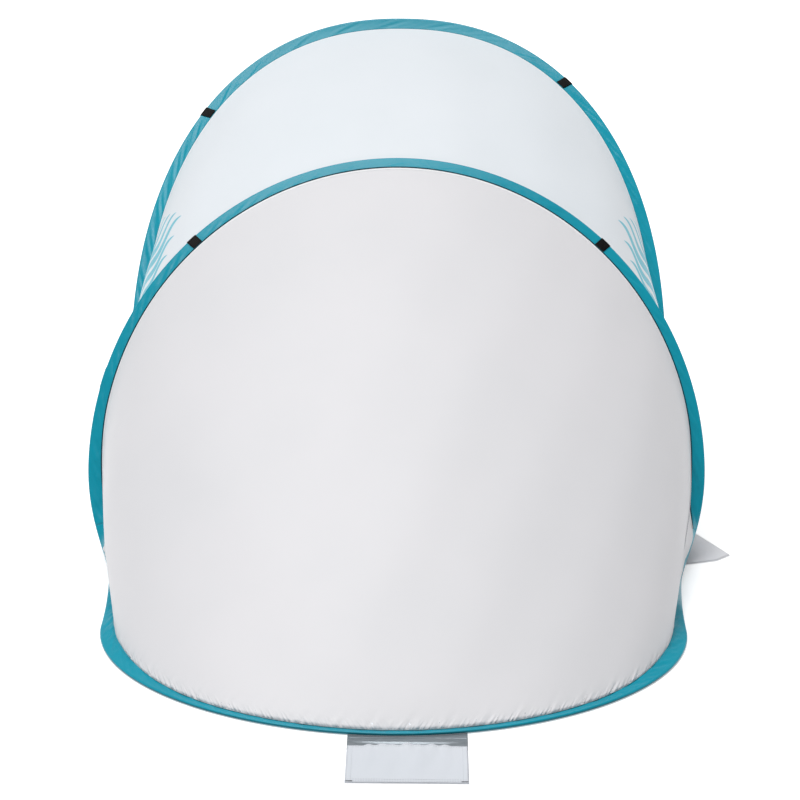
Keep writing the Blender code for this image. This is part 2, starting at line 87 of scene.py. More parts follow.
# %% [markdown]
# ## Paths along the hoops
# A path holds, for many places along a hoop, the wire's centre and three directions: along the hoop, out
# across the sleeve's width, and side across its thickness. A sleeve, a wire, a strap or a seam is then
# one drawing in the out and side directions, carried along the path. Writing the paths as arrays keeps
# thousands of places quick to work out.

# %% Paths
def unit(vectors):
    return vectors / np.linalg.norm(vectors, axis=-1, keepdims=True)


def dot(a, b):
    return np.sum(a * b, axis=-1)


def ease(value, low, high):
    t = np.clip((value - low) / (high - low), 0.0, 1.0)
    return t * t * (3 - 2 * t)


class Path:
    def __init__(self, point, along, out, side):
        self.point, self.along, self.out, self.side = point, along, out, side

    def place(self, out, side):
        return self.point + np.asarray(out)[..., None] * self.out + np.asarray(side)[..., None] * self.side

    def carry(self, out, side):
        """Points of a section carried along the path: one row for each place."""
        return (self.point[:, None, :] + out[..., None] * self.out[:, None, :]
                + side[..., None] * self.side[:, None, :])

    def seam(self, face):
        """Where a panel's middle surface meets the sleeve's sewn edge, on one face of it."""
        return self.place(seam_lap - seam_reach, face * panel_offset)

    def part(self, keep):
        return Path(self.point[keep], self.along[keep], self.out[keep], self.side[keep])

    def mirrored(self):
        return Path(self.point * mirror, self.along * mirror, self.out * mirror, self.side * mirror)

    def run(self):
        """Length along the path at each place."""
        steps = np.linalg.norm(np.diff(self.point, axis=0), axis=1)
        return np.concatenate(((0.0,), np.cumsum(steps)))

    def at(self, runs):
        """The path at given lengths along it."""
        own = self.run()
        new = [np.stack([np.interp(runs, own, values[:, k]) for k in range(3)], axis=1)
               for values in (self.point, self.along, self.out, self.side)]
        return Path(new[0], unit(new[1]), unit(new[2]), unit(new[3]))


curve_samples = 4000
lean_fade = 0.25


def leaf(width, widest_at, reach, roundness, angle, face_up, start, count, lean=0.0, tilt=0.0, side_lean=0.0,
         end_turns=None):
    """Half of a hoop, from its right end over its far end to its left end.

    width, widest_at and reach are its size, and roundness its form, where 2 is an ellipse. angle is that of
    its plane above the floor ahead. lean turns the sleeve where the hoop runs across the tent, and side_lean
    where it runs up its sides. end_turns holds two functions that give a further turn by the distance from
    the right and left end.
    """
    half, far = width / 2 - nose_reach, reach - nose_reach
    waist_half = waist_width / 2 - nose_reach
    low = np.linspace(start, widest_at, curve_samples, endpoint=False)
    low_x = half - (half - waist_half) * ((widest_at - low) / widest_at) ** 2
    turn = np.linspace(0.0, math.pi / 2, curve_samples)
    x = np.concatenate((low_x, half * np.maximum(np.cos(turn), 0.0) ** (2 / roundness)))
    t = np.concatenate((low, widest_at + (far - widest_at) * np.sin(turn) ** (2 / roundness)))
    x[-1] = 0.0
    run = np.concatenate(((0.0,), np.cumsum(np.hypot(np.diff(x), np.diff(t)))))
    even = np.linspace(0.0, run[-1], count // 2 + 1)
    x, t = np.interp(even, run, x), np.interp(even, run, t)
    x, t = np.concatenate((x, -x[-2::-1])), np.concatenate((t, t[-2::-1]))
    run = np.linspace(0.0, 2 * run[-1], len(x))
    up = np.array((0.0, math.cos(angle), math.sin(angle)))
    point = waist_point + np.outer(x, across) + np.outer(t, up)
    along = unit(np.gradient(point, axis=0))
    normal = face_up * np.cross(across, up)
    outward = unit(np.cross(along, normal))
    middle = np.array((0.0, *(waist_point + up * widest_at)[1:]))
    outward *= np.where(dot(outward, point - middle) < 0, -1.0, 1.0)[:, None]
    rise = np.maximum(outward @ up, 0.0)
    turned = np.arctan2(math.sin(lean) * rise, 1 - (1 - math.cos(lean)) * rise ** 2) + tilt
    turned = turned + side_lean * (1 - rise ** 2) * ease(np.minimum(run, run[-1] - run), 0.0, lean_fade)
    if end_turns is not None:
        turned = turned + end_turns[0](run) + end_turns[1](run[-1] - run)
    turned = turned[:, None]
    out = np.cos(turned) * outward + np.sin(turned) * normal
    side = np.cos(turned) * normal - np.sin(turned) * outward
    return Path(point, along, out, side)


def bend(arch, floor, radius, opening, tilt, count, turn_at=None):
    """The right waist bend, from the arch's first place to the floor leaf's.

    turn_at gives a further turn of the sleeve about its wire, by the share of the way along the bend.
    """
    handle = 4 / 3 * math.tan((math.pi - opening) / 4) * radius
    a, d = arch.point[0], floor.point[0]
    b, c = a - handle * arch.along[0], d - handle * floor.along[0]
    u = np.linspace(0.0, 1.0, count)[:, None]
    point = (1 - u) ** 3 * a + 3 * (1 - u) ** 2 * u * b + 3 * (1 - u) * u ** 2 * c + u ** 3 * d
    along = -unit((1 - u) ** 2 * (b - a) + 2 * (1 - u) * u * (c - b) + u ** 2 * (d - c))
    normal = unit(np.cross(across, along))
    normal *= np.where(dot(normal, (1 - u) * arch.side[0] + u * floor.side[0]) < 0, -1.0, 1.0)[:, None]
    outward = np.cross(along, normal)
    outward *= np.where(outward @ across < 0, -1.0, 1.0)[:, None]
    turn = u * tilt if turn_at is None else u * tilt + turn_at(u)
    return Path(point, along, np.cos(turn) * outward + np.sin(turn) * normal,
                np.cos(turn) * normal - np.sin(turn) * outward)


# %% [markdown]
# ### The two hoops
# Four leaves and four waist bends make the two hoops. A sleeve has no reason to stand square to its hoop:
# the pull of the cloth leans it. At the rear waist the wall's pull turns the sleeve right over, so that its
# sewn edge goes inside the bend. These leans are angles about the wire, matched to the photograph.

# %% The two hoops
arch_places = 480
floor_places = 480
bend_places = 49
# each leaf's width, distance from the waist line to its widest place, reach, and roundness
leaf_sizes = {
    "rear floor": (1.067, 0.319, waist_from_rear, 1.945),
    "rear arch": (1.20, 0.194, 0.815, 1.985),
    "front floor": (1.11, 0.45, floor_length - waist_from_rear, 2.10),
    "front arch": (1.082, 0.52, front_arch_reach, 2.224),
}
rear_arch_lean = math.radians(-31.5)
side_leans = {name: math.radians(turn) for name, turn in
              (("rear floor", -30), ("rear arch", -24), ("front arch", -26))}
rear_opening = math.pi - rear_angle
rear_bend_radius = 0.12
front_bend_radius = 0.06
rear_start = rear_bend_radius / math.tan(rear_opening / 2)
front_start = front_bend_radius / math.tan(front_angle / 2)
rear_bend_length = rear_bend_radius * rear_angle
# the turn in degrees, then where it starts and ends to fade: towards the arch, and towards the floor, in
# metres along the hoop from the middle of the bend
turn_limits = {"right": (93, 0.019, 0.160, 0.090, 0.290), "left": (103, -0.028, 0.110, 0.045, 0.180)}


def waist_turn(towards_arch, limits):
    """Turn of the rear sleeve near the waist, where the wall's pull draws its sewn edge into the bend."""
    degrees, arch_low, arch_high, floor_low, floor_high = limits
    fade = (1 - ease(towards_arch, arch_low, arch_high)) * (1 - ease(-towards_arch, floor_low, floor_high))
    return -math.radians(degrees) * fade


def end_turns(sign):
    """The turns at the right and left end of a rear leaf: sign is 1 for the arch and -1 for the floor."""
    return [lambda away, limits=turn_limits[side]: waist_turn(sign * (rear_bend_length / 2 + away), limits)
            for side in ("right", "left")]


rear_floor = leaf(*leaf_sizes["rear floor"], math.pi, -1, rear_start, floor_places, tilt=floor_tilt,
                  side_lean=side_leans["rear floor"], end_turns=end_turns(-1))
rear_ground = leaf(*leaf_sizes["rear floor"], math.pi, -1, rear_start, floor_places, tilt=floor_tilt)
rear_arch = leaf(*leaf_sizes["rear arch"], rear_angle, 1, rear_start, arch_places, lean=rear_arch_lean,
                 side_lean=side_leans["rear arch"], end_turns=end_turns(1))
front_floor = leaf(*leaf_sizes["front floor"], 0.0, -1, front_start, floor_places, tilt=-floor_tilt)
front_arch = leaf(*leaf_sizes["front arch"], front_angle, 1, front_start, arch_places,
                  side_lean=side_leans["front arch"])
rear_bends = {side: bend(rear_arch, rear_floor, rear_bend_radius, rear_opening, floor_tilt, bend_places,
                         lambda u, limits=limits: waist_turn((0.5 - u) * rear_bend_length, limits))
              for side, limits in turn_limits.items()}
rear_bends["left"] = rear_bends["left"].mirrored()
front_bend = bend(front_arch, front_floor, front_bend_radius, front_angle, -floor_tilt, bend_places)
front_bends = {"right": front_bend, "left": front_bend.mirrored()}
# each hoop's name with its path and the body that it moves with
arches = (("rear", rear_arch, "rear_arch"), ("front", front_arch, "front_arch"))
floors = (("rear", rear_floor, "rear_floor"), ("front", front_floor, "root"))
waist_bends = (("rear", rear_bends), ("front", front_bends))
for hoop, path, body in (*arches, *floors):
    print(f"{hoop} hoop on {body}: {path.run()[-1]:.3f} m long")

# %% [markdown]
# ## How the cloth folds
# The tent folds about its waist line, like a fan. A piece of cloth between two hoops is sewn to one hoop at
# one edge and the other at the other edge. Each place of the cloth gets its share of the angle between
# them, seen from the waist line. An even share would keep the cloth between the hoops in every pose, where a
# share that eases in and out would push it through them. The shares are worked out here, but the pieces are
# not made to fold with them.

# %% Folding shares
zones = {
    "front": ("root", "front_arch", 0.0, front_angle),
    "roof": ("front_arch", "rear_arch", front_angle, rear_angle),
    "rear": ("rear_arch", "rear_floor", rear_angle, math.pi),
}


def angle_share(points, zone):
    start, end = zones[zone][2:]
    angle = np.arctan2(points[..., 2] - waist_point[2], points[..., 1] - waist_point[1])
    return np.clip((angle - start) / (end - start), 0.0, 1.0)


def grid_share(grid, zone, first, last):
    """Shares for a grid of places, matched to the hoops that its first and last rows are sewn to."""
    share = angle_share(grid, zone)
    row = np.linspace(0.0, 1.0, grid.shape[1])[None, :]
    first, last = np.broadcast_to(first, len(grid))[:, None], np.broadcast_to(last, len(grid))[:, None]
    share = share + (first - share[:, :1]) * (1 - row) + (last - share[:, -1:]) * row
    return np.clip(share, 0.0, 1.0)


def fold(piece, shares):
    """Fixes the piece's place into its mesh. The shares, one for each of its points, are not used."""
    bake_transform(piece)


# %% [markdown]
# ## Where each piece belongs
# A finished piece is parented to the body it moves with, and the plain imported solid that it stands for
# is hidden. The same two steps would follow every piece, so one helper takes them.

# %% Settling a piece
def settle(piece, body=None, node=None):
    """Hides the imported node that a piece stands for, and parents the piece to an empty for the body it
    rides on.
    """
    if node is not None:
        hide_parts(node)
    if body is not None:
        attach(piece, body)
    return piece


# %% [markdown]
# ## Making meshes
# Cloth here is a grid of points that is given its real thickness, with a rolled rim, so it looks like cloth
# from both sides. Every grid also gets a UV map in metres. A weave or a seam in a material can then be
# written in real millimetres.

# %% Mesh helpers
def make_piece(name, points, faces, materials, uv=None, slots=None, flat=0):
    """A mesh piece. Its last faces, as many as flat says, are a rim with a sharp edge."""
    mesh = bpy.data.meshes.new(name)
    mesh.from_pydata(np.asarray(points).reshape(-1, 3).tolist(), [], np.asarray(faces).tolist())
    for material in materials:
        mesh.materials.append(material)
    if slots is not None:
        mesh.polygons.foreach_set("material_index", np.asarray(slots, np.int32))
    if uv is not None:
        layer = mesh.uv_layers.new(name="cloth")
        corners = np.zeros(len(mesh.loops), np.int32)
        mesh.loops.foreach_get("vertex_index", corners)
        layer.data.foreach_set("uv", np.asarray(uv, np.float32).reshape(-1, 2)[corners].ravel())
    smooth = np.arange(len(mesh.polygons)) < len(mesh.polygons) - flat
    mesh.polygons.foreach_set("use_smooth", smooth)
    mesh.validate()
    mesh.update()
    piece = bpy.data.objects.new(name, mesh)
    bpy.context.scene.collection.objects.link(piece)
    return piece


def grid_faces(columns, rows, offset=0, wrap=False):
    """Quads between neighbouring columns of points; wrap also joins the last row to the first."""
    i = np.arange(columns - 1)[:, None]
    j = np.arange(rows if wrap else rows - 1)[None, :]
    k = (j + 1) % rows
    quads = np.stack((i * rows + j, (i + 1) * rows + j, (i + 1) * rows + k, i * rows + k), axis=-1)
    return quads.reshape(-1, 4) + offset


no_length = 1e-12


def grid_normals(grid):
    """Normals of a grid. A corner whose two edges run the same way has none, so it gets the mean."""
    normals = np.cross(np.gradient(grid, axis=0), np.gradient(grid, axis=1))
    lengths = np.linalg.norm(normals, axis=-1, keepdims=True)
    usual = unit(normals.mean(axis=(0, 1)))
    return np.where(lengths > no_length, normals / np.maximum(lengths, no_length), usual)


def measured(grid):
    """Distances along the columns and along the rows, in metres."""
    along = np.linalg.norm(np.diff(grid, axis=0), axis=2).mean(axis=1)
    over = np.linalg.norm(np.diff(grid, axis=1), axis=2)
    u = np.concatenate(((0.0,), np.cumsum(along)))[:, None] + np.zeros(grid.shape[1])[None, :]
    v = np.concatenate((np.zeros((len(grid), 1)), np.cumsum(over, axis=1)), axis=1)
    return np.stack((u, v), axis=-1)


def grid_area(grid):
    a = np.cross(grid[1:, :-1] - grid[:-1, :-1], grid[:-1, 1:] - grid[:-1, :-1])
    b = np.cross(grid[:-1, 1:] - grid[1:, 1:], grid[1:, :-1] - grid[1:, 1:])
    return float((np.linalg.norm(a, axis=2).sum() + np.linalg.norm(b, axis=2).sum()) / 2)


def cloth(name, grid, outward, materials, thickness=fabric, held="stretched", shares=None):
    """A closed sheet of cloth round a grid of its middle surface, with its outer face towards outward.

    materials are those of its outer and inner face. Where held is None, it is a tape or hem that belongs to
    another sheet, and its size is not printed.
    """
    if grid_normals(grid).mean(axis=(0, 1)) @ np.asarray(outward) < 0:
        grid = grid[::-1]
        shares = None if shares is None else shares[::-1]
    columns, rows = grid.shape[:2]
    normals, uv = grid_normals(grid), measured(grid)
    uv[..., 0] -= uv[-1, 0, 0] / 2
    half = np.broadcast_to(np.asarray(thickness) / 2, (columns, rows))[..., None]
    outer, inner = grid + normals * half, grid - normals * half
    count = columns * rows
    top = grid_faces(columns, rows)
    bottom = grid_faces(columns, rows, count)[:, ::-1]
    rim = [(i, 0) for i in range(columns)] + [(columns - 1, j) for j in range(1, rows)]
    rim += [(i, rows - 1) for i in range(columns - 2, -1, -1)] + [(0, j) for j in range(rows - 2, 0, -1)]
    rim = np.array([i * rows + j for i, j in rim])
    following = np.roll(rim, -1)
    edge = np.stack((rim, rim + count, following + count, following), axis=1)
    faces = np.concatenate((top, bottom, edge))
    slots = np.concatenate((np.zeros(len(top)), np.ones(len(bottom)), np.zeros(len(edge)))).astype(int)
    piece = make_piece(name, np.stack((outer, inner)), faces, materials, np.stack((uv, uv)), slots, len(edge))
    if shares is not None:
        fold(piece, np.concatenate((shares.ravel(), shares.ravel())))
    if held is None:
        return piece
    width = max(float(np.linalg.norm(np.diff(grid[:, j], axis=0), axis=1).sum()) for j in (0, rows // 2, -1))
    length = float(uv[..., 1].max())
    area = grid_area(grid)
    # a wedge whose rows fan out is cut from a narrower strip
    width = min(width, 2 * area / length)
    print(f"{name}: {width:.3f} x {length:.3f} m of cloth, {area:.3f} m2, {len(faces)} faces")
    return piece


def nearest_shares(piece, line, shares):
    """For each vertex of a piece, the share that the nearest point of a line has."""
    nearest = KDTree(len(line))
    for i, point in enumerate(line):
        nearest.insert(point, i)
    nearest.balance()
    return [shares[nearest.find(v.co)[1]] for v in piece.data.vertices]


def ripple(seed, places, wavelengths):
    """Smooth waves of mixed length and place, from about -1 to 1. The seed fixes them."""
    random = np.random.default_rng(seed)
    total = np.zeros(np.shape(places[0]))
    for wavelength in wavelengths:
        turn, phase = random.uniform(-1.0, 1.0), random.uniform(0.0, 2 * math.pi)
        total = total + np.sin(2 * math.pi * (places[0] + turn * places[1]) / wavelength + phase)
    return total / math.sqrt(len(wavelengths))


# %% [markdown]
# ## Materials
# Colours are written as sRGB hex and turned into the linear values that a shader wants by one function. One
# small function adds a node, so each material below reads as a short list of what it is made of.

# %% Material helpers
def linear(colour):
    values = [int(colour[i:i + 2], 16) / 255 for i in (1, 3, 5)]
    return (*(v / 12.92 if v <= 0.04045 else ((v + 0.055) / 1.055) ** 2.4 for v in values), 1.0)


def add(tree, kind, values=None, links=None, **settings):
    """Adds one node with its settings, its fixed inputs and its linked inputs."""
    node = tree.nodes.new(kind)
    for name, value in settings.items():
        setattr(node, name, value)
    for socket, value in (values or {}).items():
        node.inputs[socket].default_value = value
    for socket, source in (links or {}).items():
        tree.links.new(source, node.inputs[socket])
    return node


def new_material(name, **fixed):
    """A material with a Principled shader and its fixed inputs, given with _ for a space in their names."""
    material = bpy.data.materials.new(name)
    material.use_nodes = True
    shader = material.node_tree.nodes["Principled BSDF"]
    for socket, value in fixed.items():
        shader.inputs[socket.replace("_", " ")].default_value = value
    return material, material.node_tree, shader


def math_node(tree, operation, *inputs):
    """The result of one Math node. Each input is a number or another node's output."""
    node = add(tree, "ShaderNodeMath", operation=operation)
    for i, value in enumerate(inputs):
        if isinstance(value, bpy.types.NodeSocket):
            tree.links.new(value, node.inputs[i])
        else:
            node.inputs[i].default_value = value
    return node.outputs[0]


# %% [markdown]
# ### Coated polyester
# Beach tents are made of polyester taffeta, a plain weave of fine flat yarn, with a thin coating behind.
# The yarn is smooth, so the cloth has a soft wide shine, and small creases from packing catch the light.
# Threads are 0.2 mm apart, too fine to see here, so the weave is drawn 1.6 mm apart, and very faintly.

# %% Woven polyester
weave_spacing = 0.0016
# packing creases are about 110 mm apart, and the shade drifts over about 330 mm
crease_scale = 9.0
drift_scale = 3.0


def polyester(name, light, dark, roughness=0.50, weave_depth=0.00006, crease_depth=0.0008, sheen=0.25,
              gloss=0.4, metal=0.0):
    """Cloth whose colour drifts between two shades, with weave and creases of a given depth in metres.

    It returns the material, its tree and shader, the shade's node, and the cloth's own u and v in metres.
    """
    material, tree, shader = new_material(name, Roughness=roughness, Sheen_Weight=sheen, Sheen_Roughness=0.5,
                                          Specular_IOR_Level=gloss, Metallic=metal)
    place = add(tree, "ShaderNodeTexCoord")
    drift = add(tree, "ShaderNodeTexNoise", {"Scale": drift_scale, "Detail": 3.0},
                {"Vector": place.outputs["Object"]})
    colour = add(tree, "ShaderNodeMix", {6: linear(light), 7: linear(dark)}, data_type="RGBA")
    spread = add(tree, "ShaderNodeMapRange", {"From Min": 0.3, "From Max": 0.7}, {"Value": drift.outputs[0]})
    tree.links.new(spread.outputs[0], colour.inputs[0])
    tree.links.new(colour.outputs[2], shader.inputs["Base Color"])
    cloth_map = add(tree, "ShaderNodeUVMap", uv_map="cloth")
    parts = add(tree, "ShaderNodeSeparateXYZ", links={"Vector": cloth_map.outputs[0]})
    turns = 2 * math.pi / weave_spacing
    threads = math_node(tree, "MULTIPLY",
                        math_node(tree, "SINE", math_node(tree, "MULTIPLY", parts.outputs[0], turns)),
                        math_node(tree, "SINE", math_node(tree, "MULTIPLY", parts.outputs[1], turns)))
    creases = add(tree, "ShaderNodeTexNoise", {"Scale": crease_scale, "Detail": 5.0, "Roughness": 0.55,
                                               "Distortion": 0.6}, {"Vector": place.outputs["Object"]})
    soft = add(tree, "ShaderNodeBump", {"Strength": 1.0, "Distance": crease_depth},
               {"Height": creases.outputs[0]})
    fine = add(tree, "ShaderNodeBump", {"Strength": 0.6, "Distance": weave_depth},
               {"Height": threads, "Normal": soft.outputs[0]})
    tree.links.new(fine.outputs[0], shader.inputs["Normal"])
    return material, tree, shader, colour, parts


wall_cloth = polyester("coated_polyester_taffeta", "#E0DFE2", "#DCDCDF")[0]
# painted shade: the pouch cloth is the pocket fabric drawn darker, for the shade it lies in
pouch_cloth_painted_shade = polyester("pouch_taffeta_painted_shade", "#D7DBE2", "#D2D7DE")[0]
# painted light: the flap cloth is the wall cloth drawn lighter, to offset the shadow the tent casts on it
flap_cloth_painted_light = polyester("flap_taffeta_painted_light", "#F0F0F4", "#EBECF0")[0]
print("plain cloths: wall, pouch and flap")

# %% [markdown]
# ### Silver lining and floor cloth
# The inner face carries a silver coating that keeps the sun out. It is half metal to the eye, has no sheen,
# and shows its creases more. The floor is a heavier oxford weave with a waterproof coating.

# %% Silver lining and floor cloth
silver_side = polyester("silver_coated_lining", "#B9BFC4", "#AAB1B7", 0.38, weave_depth=0.00005,
                        crease_depth=0.004, sheen=0.0, metal=0.45)[0]
# painted shade: the pocket's lining is the silver lining drawn darker, for the shade under the pouch's mouth
pocket_lining_painted_shade = polyester("silver_lining_painted_shade", "#8F969C", "#7E868C", 0.30, weave_depth=0.00005,
                         crease_depth=0.003, sheen=0.0, metal=0.45)[0]
floor_cloth = polyester("coated_oxford_floor", "#B7BCC2", "#A9AFB6", 0.45, weave_depth=0.00008,
                        crease_depth=0.004)[0]
print("coated cloths: lining, pocket lining and floor")

# %% [markdown]
# ### Gathered wall cloth
# Sewing gathers the rear wall along its ground hem. The larger puckers are in the mesh. The finest ones,
# about 8 mm apart, are a bump that fades within two centimetres of the hem. They are drawn out away from
# the hem, and lean towards the middle of the wall on both sides.

# %% Gathered wall cloth
pucker_scale = 130.0
pucker_lean = 0.6
pucker_squeeze = 0.2
pucker_reach = 0.020
pucker_depth = 0.004
gathered_cloth, tree, shader, base, parts = polyester("gathered_polyester_taffeta", "#E0DFE2", "#DCDCDF")
from_middle = math_node(tree, "ABSOLUTE", parts.outputs[0])
from_hem = parts.outputs[1]
leaning = math_node(tree, "SUBTRACT", from_middle, math_node(tree, "MULTIPLY", from_hem, pucker_lean))
drawn_out = add(tree, "ShaderNodeCombineXYZ", links={
    "X": leaning, "Y": math_node(tree, "MULTIPLY", from_hem, pucker_squeeze)})
pucker = add(tree, "ShaderNodeTexNoise", {"Scale": pucker_scale, "Detail": 1.0},
             {"Vector": drawn_out.outputs[0]})
near_hem = add(tree, "ShaderNodeMapRange", {"From Max": pucker_reach, "To Min": 1.0, "To Max": 0.0},
               {"Value": from_hem})
# noise lies round a half, so that is taken off, or its mean would tilt the whole hem
up_and_down = math_node(tree, "SUBTRACT", pucker.outputs[0], 0.5)
bump = add(tree, "ShaderNodeBump", {"Strength": 1.0, "Distance": pucker_depth},
           {"Height": math_node(tree, "MULTIPLY", up_and_down, near_hem.outputs[0]),
            "Normal": shader.inputs["Normal"].links[0].from_socket})
tree.links.new(bump.outputs[0], shader.inputs["Normal"])
print("puckers fade within", pucker_reach, "m of the hem")

# %% [markdown]
# ### Printed roof cloth
# The side walls carry a print. Here it is a plain set of tapered wave strokes, made from distances on the
# cloth: each stroke is a wave line, and a point is inked where it is nearer to that line than the stroke's
# half width at that place. Distance from the roof's middle is folded at the top, so one set of strokes
# serves both sides.

# %% Roof cloth with wave strokes
stroke_ink = "#66C1D4"
stroke_edge = 0.0012
stroke_taper = 0.7
strokes = (
    # start and end from the top of the roof, distance from the rear arch, half width, wave height, waves
    (0.61, 0.76, 0.095, 0.0110, 0.010, 1.5),
    (0.58, 0.82, 0.132, 0.0145, 0.012, 2.0),
    (0.55, 0.83, 0.174, 0.0170, 0.013, 2.0),
    (0.57, 0.81, 0.217, 0.0150, 0.012, 2.0),
    (0.60, 0.77, 0.257, 0.0115, 0.010, 1.5),
    (0.63, 0.73, 0.290, 0.0075, 0.008, 1.5),
)
roof_cloth, tree, shader, base, parts = polyester("printed_polyester_taffeta", "#E6EBF0", "#E2E8ED")
from_top = math_node(tree, "ABSOLUTE", parts.outputs[0])
ink = 0.0
for start, end, line, half_width, wave, waves in strokes:
    share = add(tree, "ShaderNodeMapRange", {"From Min": start, "From Max": end}, {"Value": from_top})
    half_turn = math_node(tree, "SINE", math_node(tree, "MULTIPLY", share.outputs[0], math.pi))
    taper = math_node(tree, "POWER", half_turn, stroke_taper)
    turns = math_node(tree, "SINE", math_node(tree, "MULTIPLY", share.outputs[0], 2 * math.pi * waves))
    height = math_node(tree, "MULTIPLY", turns, wave)
    from_line = math_node(tree, "SUBTRACT", math_node(tree, "SUBTRACT", parts.outputs[1], line), height)
    away = math_node(tree, "ABSOLUTE", from_line)
    inside = math_node(tree, "SUBTRACT", math_node(tree, "MULTIPLY", taper, half_width), away)
    edge = add(tree, "ShaderNodeMapRange", {"From Min": 0.0, "From Max": stroke_edge}, {"Value": inside})
    ink = math_node(tree, "MAXIMUM", ink, edge.outputs[0])
printed = add(tree, "ShaderNodeMix", data_type="RGBA")
printed.inputs[7].default_value = linear(stroke_ink)
tree.links.new(ink, printed.inputs[0])
tree.links.new(base.outputs[2], printed.inputs[6])
tree.links.new(printed.outputs[2], shader.inputs["Base Color"])
print("wave strokes:", len(strokes))

# %% [markdown]
# ### Teal sleeves
# The sleeves are the same taffeta, dyed teal. The pull of the wire stretches the cloth tight at the outer
# edge. Near the fold round the wire and near the sewn edge, the colour is darkened as painted shade.

# %% Teal sleeve cloth
# painted shade: the colour drops to half within 1 mm of the fold and the seam, and is full again by 2.6 mm
painted_edge_shade = {"From Min": 0.001, "From Max": 0.0026, "To Min": 0.5, "To Max": 1.0}
teal_cloth, tree, shader, base, parts = polyester("teal_polyester_taffeta", "#0598AE", "#028EA4", 0.30,
                                                  crease_depth=0.0012, sheen=0.0, gloss=0.3)
painted_edge_shade_mask = add(tree, "ShaderNodeMapRange", painted_edge_shade, {"Value": parts.outputs[1]})
darker = add(tree, "ShaderNodeMix", data_type="RGBA", blend_type="MULTIPLY")
darker.inputs[0].default_value = 1.0
tree.links.new(base.outputs[2], darker.inputs[6])
tree.links.new(painted_edge_shade_mask.outputs[0], darker.inputs[7])
tree.links.new(darker.outputs[2], shader.inputs["Base Color"])
print("teal cloth, darker within", painted_edge_shade["From Max"], "m of its fold and seam")

# %% [markdown]
# ### Webbing, thread and steel
# The grip bands are woven polypropylene webbing, whose thick ribs run across the strap. Seams are sewn with
# spun polyester thread: white on the wall and the pocket, teal on the sleeves, dark grey for the bar tacks.
# The hoops are hard drawn spring steel, bright and finely grained. The ferrules are zinc plated tube.

# %% Webbing and thread
rib_spacing = 0.0022
webbing, tree, shader = new_material("black_woven_webbing", Base_Color=linear("#020203"), Roughness=0.40,
                                     Specular_IOR_Level=0.12)
cloth_map = add(tree, "ShaderNodeUVMap", uv_map="cloth")
parts = add(tree, "ShaderNodeSeparateXYZ", links={"Vector": cloth_map.outputs[0]})
ribs = math_node(tree, "SINE", math_node(tree, "MULTIPLY", parts.outputs[0], 2 * math.pi / rib_spacing))
cross_ribs = math_node(tree, "SINE", math_node(tree, "MULTIPLY", parts.outputs[1], math.pi / rib_spacing))
height = math_node(tree, "ADD", ribs, math_node(tree, "MULTIPLY", cross_ribs, 0.6))
bump = add(tree, "ShaderNodeBump", {"Strength": 0.5, "Distance": 0.0003}, {"Height": height})
tree.links.new(bump.outputs[0], shader.inputs["Normal"])

white_thread = new_material("white_polyester_thread", Base_Color=linear("#C6C9CF"), Roughness=0.6,
                            Sheen_Weight=0.1)[0]
dark_thread = new_material("dark_polyester_thread", Base_Color=linear("#4A4D52"), Roughness=0.6,
                           Sheen_Weight=0.1)[0]
teal_thread = new_material("teal_polyester_thread", Base_Color=linear("#14808F"), Roughness=0.55,
                           Sheen_Weight=0.3)[0]
# painted shade: a dark teal cord that stands for the shadow line along the rear arch's seam
painted_shade_cord = new_material("dark_teal_painted_shade_cord", Base_Color=linear("#07424E"), Roughness=0.55,
                           Specular_IOR_Level=0.2)[0]
print("webbing ribs are", rib_spacing, "m apart")

# %% Steel and zinc
spring_steel, tree, shader = new_material("drawn_spring_steel", Base_Color=linear("#9FA3A8"), Metallic=1.0,
                                          Roughness=0.28)
place = add(tree, "ShaderNodeTexCoord")
grain = add(tree, "ShaderNodeTexNoise", {"Scale": 900.0, "Detail": 2.0}, {"Vector": place.outputs["Object"]})
bump = add(tree, "ShaderNodeBump", {"Strength": 0.3, "Distance": 0.0001}, {"Height": grain.outputs[0]})
tree.links.new(bump.outputs[0], shader.inputs["Normal"])
zinc, tree, shader = new_material("zinc_plated_tube", Base_Color=linear("#B9BCC0"), Metallic=1.0,
                                  Roughness=0.36)
place = add(tree, "ShaderNodeTexCoord")
spangle = add(tree, "ShaderNodeTexVoronoi", {"Scale": 400.0}, {"Vector": place.outputs["Object"]})
bump = add(tree, "ShaderNodeBump", {"Strength": 0.2, "Distance": 0.0001}, {"Height": spangle.outputs[0]})
tree.links.new(bump.outputs[0], shader.inputs["Normal"])
print("materials:", len(bpy.data.materials))

# %% [markdown]
# ## Camera, floor and light
# The photograph was taken with a long lens from behind and a little above the tent. The light is soft and
# comes from nearly overhead, a little from the left, and everything round the tent is white. A wide sun
# lamp and an even sky light the floor the same everywhere, so it stays white to the edge of the picture.

# %% Camera
camera_place = (0.0393, -5.20, 1.9124)
camera_turn = -0.0065
camera_pitch = math.radians(17.52)
camera_roll = 0.0063
lens_length = 124.02
sensor_width = 36.0
far_clip = 100.0


